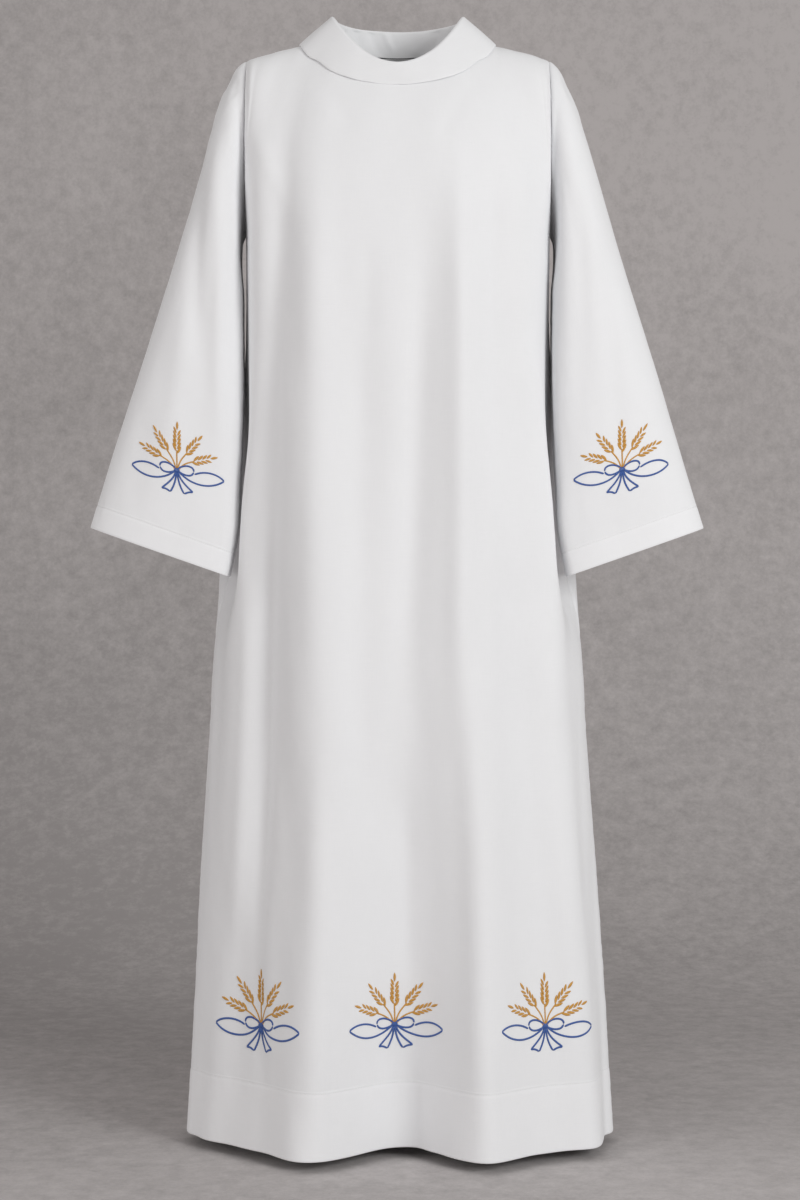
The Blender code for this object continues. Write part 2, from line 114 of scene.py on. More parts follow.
# A row for each fold of the skirt: starts is the height where it begins. top, middle and hem are its place
# across the half panel (-1 and 1 are the side seams) there, at half height and at the hem, and out_top,
# out_middle and out_hem are how far it stands out at each (or in, if less than 0).
FOLD_COLUMNS = ("starts", "top", "middle", "hem", "width", "out_top", "out_middle", "out_hem")
MIDDLE_Z = -0.80
FOLD_START_RUN = 0.12  # the height over which a fold rises out of the plain cloth
FOLD_EDGE_FADE = 0.10  # the share of the half panel, beside the side seam, over which the folds die out
FRONT_FOLDS = [
    (-0.13, -0.27, -0.21, -0.24, 0.039, 0.005, 0.010, 0.032),
    (-0.17, -0.44, -0.44, -0.58, 0.034, -0.004, -0.009, -0.004),
    (-0.50, -0.64, -0.66, -0.86, 0.030, 0.004, 0.006, -0.006),
    (-0.60, -0.62, -0.62, -0.64, 0.078, 0.000, -0.002, -0.017),
    (-0.36, 0.02, 0.03, 0.01, 0.046, -0.001, -0.014, -0.064),
    (-0.13, 0.27, 0.28, 0.21, 0.044, 0.004, 0.009, 0.036),
    (-0.22, 0.42, 0.43, 0.44, 0.030, -0.003, -0.006, 0.002),
    (-0.50, 0.60, 0.60, 0.64, 0.034, 0.003, 0.006, 0.015),
    (-1.00, 0.86, 0.86, 0.87, 0.034, 0.000, 0.000, -0.010),
]
BACK_FOLDS = [
    (-0.30, -0.02, -0.03, -0.06, 0.046, 0.001, 0.010, 0.030),
    (-0.20, -0.22, -0.24, -0.30, 0.040, -0.004, -0.010, -0.034),
    (-0.40, -0.46, -0.50, -0.55, 0.044, 0.002, 0.008, 0.024),
    (-0.24, 0.20, 0.22, 0.24, 0.042, -0.004, -0.012, -0.036),
    (-0.16, 0.46, 0.44, 0.50, 0.044, 0.004, 0.010, 0.026),
    (-0.60, 0.74, 0.72, 0.76, 0.034, -0.002, -0.005, -0.012),
    (-0.60, -0.76, -0.74, -0.78, 0.034, -0.002, -0.005, -0.010),
]

# A row for each ring of a sleeve, from below the armpit, where along is 0, to the cuff, where it is 1:
# the outer and inner edge, both without their side's sign, the middle's y and the half depth from front
# to back.
SLEEVE_COLUMNS = ("along", "outer_x", "outer_z", "inner_x", "inner_z", "centre_y", "half_depth")
SLEEVE_RINGS = [
    (0.00, 0.3000, -0.300, 0.2040, -0.345, -0.006, 0.074),
    (0.31, 0.3330, -0.407, 0.2035, -0.466, -0.014, 0.064),
    (0.64, 0.3680, -0.523, 0.2070, -0.585, -0.021, 0.056),
    (0.84, 0.3880, -0.590, 0.2105, -0.653, -0.025, 0.052),
    (1.00, 0.4050, -0.646, 0.2222, -0.710, -0.027, 0.049),
]
SLEEVE_CENTRE_X = -0.003
SLEEVE_POWER = 0.94  # the power that rounds a sleeve's section

# How a sleeve leaves the armhole: around is 0 at the shoulder tip and 1 at the armpit.
CAP_COLUMNS = ("around", "out", "forward", "down")
SLEEVE_CAP = [
    (0.00, 0.032, 0.000, 0.006),
    (0.25, 0.022, 0.022, 0.010),
    (0.50, 0.012, 0.034, 0.012),
    (0.75, 0.010, 0.026, 0.022),
    (1.00, 0.017, 0.000, 0.026),
]
CAP_END = 0.42  # the second handle's length, as a share of the way from armhole to first ring

# A row for each ring round the neck: the neckline's seam and the fold where the collar turns over. dip
# says how the ring falls from the side to the front and back: 1 is a straight slope and more starts level.
NECK_COLUMNS = ("half_width", "front_y", "back_y", "side_z", "front_z", "back_z", "dip")
NECKLINE = (0.090, -0.078, 0.075, 0.004, -0.062, -0.001, 1.70)
COLLAR_FOLD = (0.086, -0.070, 0.078, 0.036, -0.0405, 0.036, 1.80)

# Where the collar's free edge lies on the panels: turn in degrees from the middle of the front to the
# middle of the back, across as a share of the half panel, and down from the top edge, where a place on
# the back panel is less than 0.
EDGE_COLUMNS = ("turn", "across", "down")
COLLAR_EDGE = [
    (0, 0.000, 0.068),
    (15, 0.090, 0.098),
    (30, 0.185, 0.165),
    (45, 0.300, 0.246),
    (60, 0.425, 0.268),
    (75, 0.530, 0.183),
    (90, 0.588, 0.000),
    (105, 0.540, -0.130),
    (120, 0.440, -0.190),
    (135, 0.315, -0.200),
    (150, 0.200, -0.175),
    (165, 0.095, -0.145),
    (180, 0.000, -0.130),
]
EDGE_LIFT = 0.0020  # how far the collar's middle face lies off the panels there
COLLAR_ROLL = 0.0030  # radius of the turn at the fold
COLLAR_LEAN = 0.6  # how far the roll stands outside the fold's ring, as a share of its radius
COLLAR_BULGE = 0.0002  # how far the fall rounds out between fold and edge
COLLAR_LIFT = 0.0010  # clearance of the stand above the neckline
SMALL_STEP = 0.002  # the step that a surface's direction is measured over

# ---------------- creases
# A row for each soft ridge or trough, from one place to another as x and z on the piece seen straight on.
# bow is how far its middle swings to the left of that way, width is its half width, and out is how far it
# stands out, or in, if less than 0.
CREASE_COLUMNS = ("from_x", "from_z", "to_x", "to_z", "bow", "width", "out")
CREASE_FADE = 0.32  # the share of its length over which a crease dies out at either end
FRONT_CREASES = [
    (-0.178, -0.050, -0.190, -0.560, 0.004, 0.018, 0.0062),
    (-0.138, -0.060, -0.178, -0.700, -0.004, 0.016, -0.0020),
    (-0.140, -0.260, -0.136, -1.060, -0.003, 0.018, 0.0050),
    (-0.104, -0.140, -0.108, -1.040, -0.004, 0.025, 0.0084),
    (-0.050, -0.240, -0.054, -1.120, 0.003, 0.020, -0.0040),
    (-0.164, -0.560, -0.186, -1.280, 0.003, 0.010, -0.0066),
    (-0.184, -1.180, -0.176, -1.380, 0.000, 0.008, -0.0036),
    (-0.193, -0.640, -0.216, -1.230, 0.002, 0.013, 0.0042),
    (-0.232, -0.760, -0.250, -1.180, 0.000, 0.013, -0.0022),
    (-0.110, -0.900, -0.106, -1.500, 0.004, 0.017, 0.0034),
    (-0.040, -0.260, -0.038, -0.420, 0.000, 0.010, -0.0014),
    (0.034, -0.160, 0.001, -0.960, 0.003, 0.021, -0.0070),
    (0.006, -0.960, 0.012, -1.270, 0.000, 0.012, -0.0030),
    (0.020, -1.320, 0.023, -1.560, 0.000, 0.012, -0.0040),
    (0.074, -0.110, 0.078, -0.960, 0.003, 0.018, 0.0104),
    (0.074, -0.230, 0.054, -1.180, -0.003, 0.040, 0.0092),
    (0.082, -0.700, 0.110, -1.560, 0.004, 0.019, 0.0076),
    (0.119, -0.120, 0.126, -0.640, 0.000, 0.016, -0.0066),
    (0.126, -0.440, 0.150, -1.340, 0.003, 0.015, -0.0050),
    (0.158, -0.070, 0.163, -0.560, -0.003, 0.018, 0.0048),
    (0.156, -0.580, 0.176, -1.120, -0.004, 0.014, -0.0020),
    (0.206, -0.680, 0.204, -0.930, 0.000, 0.014, 0.0030),
    (0.196, -0.950, 0.226, -1.420, 0.003, 0.016, 0.0022),
    (0.236, -0.800, 0.252, -1.240, 0.000, 0.012, -0.0020),
    (-0.110, -0.052, -0.060, -0.150, 0.006, 0.012, -0.0012),
    (0.108, -0.048, 0.050, -0.160, -0.006, 0.012, -0.0012),
    (-0.190, -0.130, -0.150, -0.240, 0.004, 0.010, 0.0014),
    (0.184, -0.125, 0.152, -0.230, -0.004, 0.010, 0.0012),
]
BACK_CREASES = [
    (-0.150, -0.060, -0.160, -0.640, -0.004, 0.016, -0.0040),
    (-0.094, -0.160, -0.102, -0.840, 0.004, 0.020, 0.0038),
    (-0.034, -0.210, -0.046, -0.920, -0.003, 0.014, -0.0034),
    (0.018, -0.120, 0.012, -0.760, 0.003, 0.018, 0.0030),
    (0.060, -0.240, 0.070, -1.020, 0.004, 0.013, -0.0044),
    (0.112, -0.150, 0.120, -0.900, -0.004, 0.019, 0.0036),
    (0.158, -0.090, 0.170, -0.600, 0.004, 0.015, -0.0030),
    (-0.130, -0.720, -0.150, -1.340, 0.003, 0.011, -0.0056),
    (-0.190, -0.640, -0.216, -1.220, -0.003, 0.014, 0.0034),
    (-0.060, -0.900, -0.068, -1.560, 0.004, 0.014, -0.0034),
    (0.022, -0.980, 0.008, -1.560, 0.000, 0.013, 0.0028),
    (0.140, -0.780, 0.152, -1.360, -0.003, 0.010, -0.0050),
    (0.202, -0.660, 0.224, -1.260, 0.003, 0.015, 0.0030),
    (-0.100, -0.020, -0.050, -0.130, -0.006, 0.012, 0.0014),
    (0.100, -0.020, 0.056, -0.120, 0.006, 0.012, 0.0014),
    (-0.190, -0.110, -0.130, -0.230, -0.004, 0.010, 0.0016),
    (0.192, -0.110, 0.136, -0.250, 0.004, 0.010, 0.0018),
]
RIGHT_SLEEVE_FRONT_CREASES = [
    (-0.221, -0.046, -0.220, -0.330, 0.003, 0.010, 0.0026),
    (-0.264, -0.110, -0.262, -0.470, -0.003, 0.013, -0.0056),
    (-0.238, -0.090, -0.238, -0.600, 0.003, 0.012, 0.0048),
    (-0.280, -0.340, -0.310, -0.600, 0.004, 0.016, 0.0026),
    (-0.330, -0.470, -0.352, -0.640, 0.003, 0.015, -0.0018),
    (-0.222, -0.032, -0.236, -0.068, 0.002, 0.006, -0.0022),
    (-0.214, -0.046, -0.224, -0.086, 0.001, 0.005, -0.0018),
    (-0.236, -0.040, -0.250, -0.120, 0.003, 0.008, 0.0016),
]
LEFT_SLEEVE_FRONT_CREASES = [
    (0.234, -0.110, 0.232, -0.560, 0.003, 0.012, -0.0022),
    (0.224, -0.540, 0.236, -0.690, 0.000, 0.010, -0.0008),
    (0.262, -0.240, 0.286, -0.600, 0.004, 0.015, -0.0034),
    (0.322, -0.420, 0.352, -0.640, -0.003, 0.016, 0.0020),
    (0.216, -0.040, 0.226, -0.082, 0.001, 0.005, -0.0016),
    (0.230, -0.044, 0.242, -0.110, 0.003, 0.008, 0.0014),
]
SLEEVE_BACK_CREASES = [
    (0.236, -0.090, 0.240, -0.420, 0.004, 0.013, -0.0044),
    (0.264, -0.160, 0.290, -0.560, -0.004, 0.015, 0.0032),
    (0.300, -0.330, 0.336, -0.640, 0.003, 0.012, -0.0030),
    (0.232, -0.430, 0.250, -0.690, 0.000, 0.012, 0.0026),
    (0.216, -0.044, 0.228, -0.090, 0.001, 0.005, -0.0014),
]

# A row for each crease of the collar: turn is its place round the neck in degrees, from the front over
# the wearer's left, lean is how far it turns on its way, and starts and ends run from 0 at the neckline
# to 1 where the stand meets the roll, 2 where the roll meets the fall and 3 at the free edge.
COLLAR_COLUMNS = ("turn", "lean", "starts", "ends", "width", "out")
COLLAR_CREASES = [
    (150, -14, -0.2, 1.4, 0.0080, -0.0018),
    (168, -16, -0.2, 1.3, 0.0100, 0.0014),
    (183, 14, 0.1, 1.4, 0.0045, 0.0015),
    (193, 18, -0.2, 1.4, 0.0080, -0.0014),
    (213, 13, -0.2, 1.5, 0.0090, -0.0020),
    (126, -4, 0.4, 1.6, 0.0022, -0.0013),
    (233, 4, 0.4, 1.6, 0.0022, -0.0013),
    (24, 8, -0.3, 1.4, 0.0060, -0.0008),
    (-30, -8, -0.3, 1.4, 0.0060, -0.0008),
    (-38, 10, 1.6, 3.4, 0.0120, 0.0009),
    (-10, 6, 1.8, 3.4, 0.0160, -0.0009),
    (34, -8, 1.7, 3.4, 0.0140, 0.0009),
    (80, 4, 1.6, 3.4, 0.0100, -0.0008),
    (-84, 4, 1.6, 3.4, 0.0100, -0.0008),
    (140, 6, 1.6, 3.4, 0.0120, 0.0010),
    (196, -5, 1.6, 3.4, 0.0140, -0.0010),
    (226, 6, 1.6, 3.4, 0.0110, 0.0009),
]

# ---------------- how finely the shells are made
PANEL_CELLS = (150, 50, 210)  # across, down the yoke, down the body
SLEEVE_CELLS = (132, 42, 96)  # round, along the cap, along the sleeve
COLLAR_CELLS = (240, 26, 18, 44)  # round, up the stand, over the roll, down the fall
EDGE_STEPS = (0.0006, 0.0014, 0.0028, 0.0050, 0.0085)  # metres from a seam or edge to its close rows
# About how long each way over a piece is, in metres, to turn those steps into shares of it.
ACROSS_METRES = 0.36
YOKE_METRES = 0.27
CAP_METRES = 0.20
ROUND_METRES = 0.22
SLEEVE_METRES = 0.378  # from below the armpit to the cuff
STAND_METRES = 0.034
FALL_METRES = 0.055

# ---------------- seams, edges and unevenness
ARMHOLE_TURN = 0.15  # the share of a seam's depth that is left at the armhole, where the cloth lies flat
ARMHOLE_BLEND = 0.04  # the height above the armpit over which it falls to that
ARMHOLE_LIFT = 0.009  # how far the cloth beside the armhole is drawn forward or back out of the valley there
ARMHOLE_REACH = 0.014  # and how far from the seam
ARMHOLE_BELOW = 0.06  # the heights at the armpit and at the shoulder tip over which that begins and ends
ARMHOLE_ABOVE = 0.07
SLEEVE_FOLD_POWER = 0.24  # the power that rounds the sleeve's front where it turns in beside the body
SLEEVE_FOLD_DEPTH = 0.056
SLEEVE_FOLD_SHARE = 0.4  # the share of the half section over which the fold comes in
SLEEVE_FOLD_RUN = 0.07  # and the length from the armhole
SEAM_RIDGE = (0.16, 0.006, 0.003)  # a seam's soft ridge: its share of the depth, its place and its width
SEAM_WIDTH = 0.0022
SEAM_PULL = 0.0025  # metres beside a seam within which its gathers rise
BAND_STEP = (0.00030, 0.0018)  # the step at a turned-up band's top: its height and its width
BAND_GROOVE = (0.00045, 0.0012)  # the groove that its stitches pull in: its depth and its width
STITCHES_BELOW = 0.0022  # how far below the band's top they run
EDGE_ROUND = (0.0006, 0.0007)  # how far and over what height the lower edge turns in
SIDE_CALM = 0.03  # metres from a side seam over which the creases begin
COLLAR_CALM = 0.11  # the share of the yoke below the collar's edge over which the cloth's creases begin
CAP_CALM = 0.025  # metres from the armhole over which a sleeve's creases begin
# A row for each size of unevenness: how far it stands out, how many waves there are a metre across, or all
# round a tube, and how high a wave is, in metres or for the collar in its three stretches.
PANEL_UNEVEN = [(0.0014, 1 / 0.050, 0.22), (0.00070, 1 / 0.026, 0.11), (0.00012, 1 / 0.009, 0.014)]
SLEEVE_UNEVEN = [(0.0013, 7, 0.19), (0.00060, 17, 0.09), (0.00012, 46, 0.014)]
COLLAR_UNEVEN = [(0.0006, 13, 1 / 1.1), (0.0002, 41, 1 / 2.3)]
STAND_CALM = 0.006  # metres from the neckline over which the collar's creases begin
EDGE_DRAWN_IN = (0.0006, 0.012)  # how far the collar's free edge is drawn in, and over what height
EDGE_RIPPLE = (0.00016, 120, 0.006)  # how far it ripples, how many times all round and over what height
COLLAR_EDGE_RUN = 0.0016  # the height over which the collar thins to its edge
COLLAR_EDGE_SHARE = 0.45  # and the share of its thickness that is left there

# ---------------- sizes and colours that a user may change


def number(name, description, default, unit="LENGTH"):
    return bpy.props.FloatProperty(name=name, description=description, default=default, unit=unit)


def tint(name, description, default):
    return bpy.props.FloatVectorProperty(
        name=name, description=description, default=default, subtype="COLOR"
    )


class AlbSizes(bpy.types.PropertyGroup):
    cloth: number("Cloth", "Thickness of the single cloth", 0.0009)
    doubled: number("Doubled cloth", "Thickness where a hem is turned up", 0.0017)
    collar: number("Collar", "Thickness of the collar's two layers", 0.0020)
    hem: number("Hem", "Depth of the turned-up hem", 0.088)
    cuff: number("Cuff", "Depth of the turned-up cuff", 0.033)
    seam: number("Seam", "How deep the cloth turns in at a seam", 0.0014)
    stitch: number("Stitch", "Length of one hem stitch", 0.0024)
    line: number("Line", "Width of an embroidered line", 0.0023)
    relief: number("Relief", "How far an embroidered line stands out", 0.0007)


class AlbColours(bpy.types.PropertyGroup):
    cloth: tint("Cloth", "Colour of the robe's cloth", (0.880, 0.886, 0.902))
    gold: tint("Gold thread", "Colour of the ears", (0.68, 0.34, 0.053))
    blue: tint("Blue thread", "Colour of the ribbon", (0.041, 0.111, 0.386))
    backdrop: tint("Backdrop", "Colour of the studio paper", (0.530, 0.502, 0.498))


class AlbStudio(bpy.types.PropertyGroup):
    camera_distance: number("Camera distance", "From the camera to the robe", 3.0)
    camera_height: number("Camera height", "Height of the camera against the shoulders", -0.741)
    lens: number("Lens", "Focal length in millimetres", 67.4, "NONE")
    key: number("Key light", "Power of the light at the right front", 77.0, "POWER")
    fill: number("Fill light", "Power of the light at the left front", 35.0, "POWER")
    sky: number("Room light", "Strength of the even light all round", 0.44, "NONE")


# ---------------- smooth curves through the tables
def smooth(at, known_at, known):
    """A smooth curve through the known values, without overshoot, read at each of the places."""
    known_at, known = np.asarray(known_at, float), np.asarray(known, float)
    if known_at[0] > known_at[-1]:
        known_at, known = known_at[::-1], known[::-1]
    step = np.diff(known_at)
    slope = np.diff(known) / step
    tangent = np.empty_like(known)
    tangent[0], tangent[-1] = slope[0], slope[-1]
    rising = slope[:-1] * slope[1:] > 0
    mean = (slope[:-1] * step[1:] + slope[1:] * step[:-1]) / (step[:-1] + step[1:])
    tangent[1:-1] = np.where(rising, mean, 0)
    at = np.clip(at, known_at[0], known_at[-1])
    cell = np.clip(np.searchsorted(known_at, at) - 1, 0, len(step) - 1)
    t = (at - known_at[cell]) / step[cell]
    return (
        known[cell] * (1 + 2 * t) * (1 - t) ** 2
        + known[cell + 1] * t * t * (3 - 2 * t)
        + step[cell] * tangent[cell] * t * (1 - t) ** 2
        - step[cell] * tangent[cell + 1] * t * t * (1 - t)
    )


def table_at(rows, columns, at):
    """A table's rows read smoothly at the given places of its first column, as a value per other column."""
    known = np.array(rows, float)
    return {name: smooth(at, known[:, 0], known[:, i]) for i, name in enumerate(columns) if i}


def bezier(start, first, second, end, t):
    t = t[..., None]
    return (
        start * (1 - t) ** 3
        + first * 3 * t * (1 - t) ** 2
        + second * 3 * t * t * (1 - t)
        + end * t**3
    )


def signed_power(value, power):
    return np.sign(value) * np.abs(value) ** power


def ease(value):
    """0 up to 0, 1 from 1 on, and a smooth rise between."""
    value = np.clip(value, 0, 1)
    return value * value * (3 - 2 * value)


def hump(distance, width):
    """1 in the middle, falling away softly on both sides."""
    return np.exp(-((distance / width) ** 2))


def unit(vectors):
    return vectors / np.linalg.norm(vectors, axis=-1, keepdims=True)


def neck_ring(turn, ring):
    """A ring round the neck, where turn is 0 in front, half pi at the wearer's left and pi at the back."""
    size = dict(zip(NECK_COLUMNS, ring))
    ahead = np.cos(turn)
    y = np.where(ahead > 0, size["front_y"], size["back_y"]) * np.abs(ahead)
    low_z = np.where(ahead > 0, size["front_z"], size["back_z"])
    z = size["side_z"] + (low_z - size["side_z"]) * np.abs(ahead) ** size["dip"]
    return np.stack([TOP_CENTRE_X + size["half_width"] * np.sin(turn), y, z], axis=-1)


# ---------------- form of the body
def fold_offset(folds, across, z, quarter):
    """How far the folds move the cloth out at this place."""
    offset = np.zeros(np.broadcast(across, z).shape)
    for row in folds:
        fold = dict(zip(FOLD_COLUMNS, row))
        heights = (HEM_Z, MIDDLE_Z, fold["starts"])
        place = smooth(z, heights, (fold["hem"], fold["middle"], fold["top"]))
        out = smooth(z, heights, (fold["out_hem"], fold["out_middle"], fold["out_top"]))
        begins = ease((fold["starts"] - z) / FOLD_START_RUN)
        offset += out * begins * hump((across - place) * quarter, fold["width"])
    return offset


def body_point(across, z, side):
    """The outer face below the armpits. across runs from -1 to 1 between the side seams, and side is -1 in
    front and 1 at the back."""
    across, z = np.broadcast_arrays(across, z)
    level = table_at(BODY_LEVELS, BODY_COLUMNS, z)
    depth = level["front"] + level["side_y"] if side < 0 else level["back"] - level["side_y"]
    turn = across * math.pi / 2
    x = level["half_width"] * signed_power(np.sin(turn), level["fullness"])
    y = side * depth * np.abs(np.cos(turn)) ** level["fullness"]
    quarter = math.pi / 2 * np.sqrt((level["half_width"] ** 2 + depth**2) / 2)
    folds = FRONT_FOLDS if side < 0 else BACK_FOLDS
    out = fold_offset(folds, across, z, quarter) * np.clip((1 - np.abs(across)) / FOLD_EDGE_FADE, 0, 1)
    normal_x, normal_y = x / level["half_width"] ** 2, y / depth**2
    length = np.sqrt(normal_x**2 + normal_y**2)
    x = x + out * normal_x / length
    y = y + out * normal_y / length
    round_at = np.abs(across) if side < 0 else 2 - np.abs(across)
    away = np.clip(np.abs(round_at - REST_AT) / REST_SPREAD, 0, 1)
    x = x - np.sign(across) * level["sleeve_rest"] * np.cos(away * math.pi / 2) ** 2
    return np.stack([level["centre_x"] + x, level["side_y"] + y, z], axis=-1)


def top_edge(across, side):
    """The neckline and the two shoulder seams, from tip to tip."""
    share = np.clip((np.abs(across) - NECK_SHARE) / (1 - NECK_SHARE), 0, 1)
    turn = np.clip(across / NECK_SHARE, -1, 1) * math.pi / 2
    neckline = neck_ring(turn if side < 0 else math.pi - turn, NECKLINE)
    neck_side = neck_ring(np.sign(across) * math.pi / 2, NECKLINE)
    tip_x = TOP_CENTRE_X + np.sign(across) * SHOULDER_HALF_WIDTH
    tip = np.stack([tip_x, 0 * across, 0 * across + SHOULDER_TIP_Z], axis=-1)
    along = (np.sin(share * math.pi / 2) + share)[..., None] / 2
    shoulder = neck_side * (1 - along) + tip * along
    shoulder[..., 2] += SHOULDER_RISE * np.sin(along[..., 0] * math.pi)
    return np.where((np.abs(across) < NECK_SHARE)[..., None], neckline, shoulder)


def softened_edge(across, side):
    """The top edge with the corner beside the neck smoothed away."""
    near = ease(1.5 - np.abs(np.abs(across) - NECK_SHARE) / CORNER_SPREAD)
    steps = np.linspace(-1, 1, 13)
    weights = (1 - steps**2) ** 2
    total = sum(w * top_edge(across + s * CORNER_SPREAD * near, side) for s, w in zip(steps, weights))
    return total / weights.sum()


def yoke_point(across, t, side):
    """The outer face from the top edge, at t = 0, to the armpit level, at t = 1."""
    across, t = np.broadcast_arrays(across, t)
    table = FRONT_YOKE if side < 0 else BACK_YOKE
    size = table_at(table, YOKE_COLUMNS, np.abs(across))
    start = softened_edge(across, side)
    corner = (top_edge(across, side) - start) * ease(1 - t / CORNER_FADE)[..., None]
    end = body_point(across, np.full(across.shape, ARMPIT_Z), side)
    below = body_point(across, np.full(across.shape, ARMPIT_Z - SMALL_STEP), side)
    rise = (end - below) / SMALL_STEP
    first = start + np.stack(
        [np.sign(across) * size["start_side"], side * size["start_out"], -size["start_down"]], axis=-1
    )
    second = end + rise * size["end_up"][..., None]
    second[..., 1] += side * size["end_out"]
    return bezier(start, first, second, end, t) + corner


def panel_point(across, down, side):
    """down runs from 0 at the top edge through 1 at the armpits to 2 at the hem."""
    across, down = np.broadcast_arrays(across, down)
    yoke = yoke_point(across, np.clip(down, 0, 1), side)
    z = ARMPIT_Z + (HEM_Z - ARMPIT_Z) * np.clip(down - 1, 0, 1)
    point = np.where((down < 1)[..., None], yoke, body_point(across, z, side))
    point[..., 1] += side * SEAM_GAP / 2
    return point


# ---------------- form of the sleeves
def armhole_point(around, hand):
    """The armhole's seam. around runs from 0 at the shoulder tip over the front to the armpit at 1 and up the
    back to 2, and hand is -1 for the wearer's right sleeve and 1 for the left."""
    front = yoke_point(np.full(around.shape, float(hand)), np.clip(around, 0, 1), -1)
    back = yoke_point(np.full(around.shape, float(hand)), np.clip(2 - around, 0, 1), 1)
    point = np.where((around <= 1)[..., None], front, back)
    point[..., 0] += hand * SEAM_GAP / 2
    return point


def sleeve_ring(around, along, hand):
    """The sleeve below the armpit, where along runs from 0 at its first ring to 1 at the cuff."""
    around, along = np.broadcast_arrays(around, along)
    ring = table_at(SLEEVE_RINGS, SLEEVE_COLUMNS, along)
    side = signed_power(np.cos(around * math.pi), SLEEVE_POWER)
    front = signed_power(np.sin(around * math.pi), SLEEVE_POWER)
    x = (ring["outer_x"] + ring["inner_x"]) / 2 + side * (ring["outer_x"] - ring["inner_x"]) / 2
    z = (ring["outer_z"] + ring["inner_z"]) / 2 + side * (ring["outer_z"] - ring["inner_z"]) / 2
    return np.stack([SLEEVE_CENTRE_X + hand * x, ring["centre_y"] - front * ring["half_depth"], z], axis=-1)


def sleeve_point(around, along, hand):
    """along runs from 0 at the armhole through 1 below the armpit to 2 at the cuff."""
    around, along = np.broadcast_arrays(around, along)
    half = np.minimum(around, 2 - around)
    cap = table_at(SLEEVE_CAP, CAP_COLUMNS, half)
    start = armhole_point(around, hand)
    facing = np.where(around <= 1, -1, 1)
    first = start + np.stack([hand * cap["out"], facing * cap["forward"], -cap["down"]], axis=-1)
    end = sleeve_ring(around, np.zeros(around.shape), hand)
    run = unit(sleeve_ring(around, np.full(around.shape, SMALL_STEP), hand) - end)
    reach = np.linalg.norm(end - start, axis=-1, keepdims=True)
    top = bezier(start, first, end - run * reach * CAP_END, end, np.clip(along, 0, 1))
    return np.where((along < 1)[..., None], top, sleeve_ring(around, np.clip(along - 1, 0, 1), hand))


# ---------------- form of the collar
def collar_edge(turn):
    """The collar's free edge, which lies on the panels."""
    half = np.degrees(np.abs((turn + math.pi) % math.tau - math.pi))
    place = table_at(COLLAR_EDGE, EDGE_COLUMNS, half)
    across, down = np.sign(np.sin(turn)) * place["across"], np.abs(place["down"])
    points = []
    for side in (-1, 1):
        middle = panel_point(across, down, side)
        along = panel_point(across + SMALL_STEP, down, side) - middle
        below = panel_point(across, down + SMALL_STEP, side) - middle
        normal = side * np.cross(along, below)
        points.append(middle + EDGE_LIFT * normal / np.linalg.norm(normal, axis=-1, keepdims=True))
    return np.where((place["down"] > 0)[..., None], *points)


def touching_turn(place, middle, outward, hand):
    """The turn, about the roll's middle, at which a line from the place touches the roll."""
    offset = place - middle
    out, rise = np.sum(offset * outward, axis=-1), offset[..., 2]
    return np.arctan2(rise, out) + hand * np.arccos(COLLAR_ROLL / np.hypot(out, rise))


def collar_point(turn, across):
    """across runs from 0 at the neckline up the stand to 1, over the roll to 2, and down the fall to 3."""
    turn, across = np.broadcast_arrays(turn, across)
    up = np.array([0, 0, 1.0])
    seam = neck_ring(turn, NECKLINE) + up * COLLAR_LIFT
    fold = neck_ring(turn, COLLAR_FOLD)
    edge = collar_edge(turn)
    outward = edge - fold
    outward[..., 2] = 0
    outward = unit(outward)
    middle = fold - up * COLLAR_ROLL + outward * COLLAR_ROLL * COLLAR_LEAN
    starts = touching_turn(seam, middle, outward, -1) % math.tau
    ends = touching_turn(edge, middle, outward, 1)
    share = np.clip(across - 1, 0, 1)
    turned = starts * (1 - share) + ends * share
    roll = middle + COLLAR_ROLL * (outward * np.cos(turned)[..., None] + up * np.sin(turned)[..., None])
    t = np.clip(across, 0, 1)[..., None]
    stand = seam * (1 - t) + roll * t
    t = np.clip(across - 2, 0, 1)[..., None]
    fall = roll * (1 - t) + edge * t + (outward + up) * COLLAR_BULGE * np.sin(t * math.pi)
    return np.where((across < 1)[..., None], stand, np.where((across < 2)[..., None], roll, fall))


# ---------------- cloth as a net of points
# points and normals are rows of places, from the top down and from left to right as seen from outside.
# width_at is how far along its row a point lies from the row's middle, and height_at how far above the
# lower edge, both measured along the cloth.
Net = namedtuple("Net", "points normals width_at height_at")


def lengths(points, axis):
    """How far along the rows (axis 1) or columns (axis 0) each point lies from the first."""
    step = np.linalg.norm(np.diff(points, axis=axis), axis=-1)
    start = np.zeros_like(np.take(step, [0], axis=axis))
    return np.concatenate([start, np.cumsum(step, axis=axis)], axis=axis)


def outward_normals(points, closed):
    """The way out of the cloth at each point. closed says that the last column lies on the first."""
    down = np.gradient(points, axis=0)
    right = np.gradient(points, axis=1)
    if closed:
        right[:, 0] = right[:, -1] = points[:, 1] - points[:, -2]
    return unit(np.cross(down, right))


def places(start, end, cells, close_to, metres):
    """Even places from start to end, with the close steps on both sides of each place in close_to."""
    even = np.linspace(start, end, cells + 1)
    steps = np.array(EDGE_STEPS) / metres
    for line in close_to:
        even = even[np.abs(even - line) > steps[-1] * 1.3]
    close = [line + sign * step for line in close_to for step in (0, *steps) for sign in (-1, 1)]
    every = np.unique(np.round(np.concatenate([even, close]), 9))
    return every[(every >= start) & (every <= end)]


NOISE_CELLS = 64


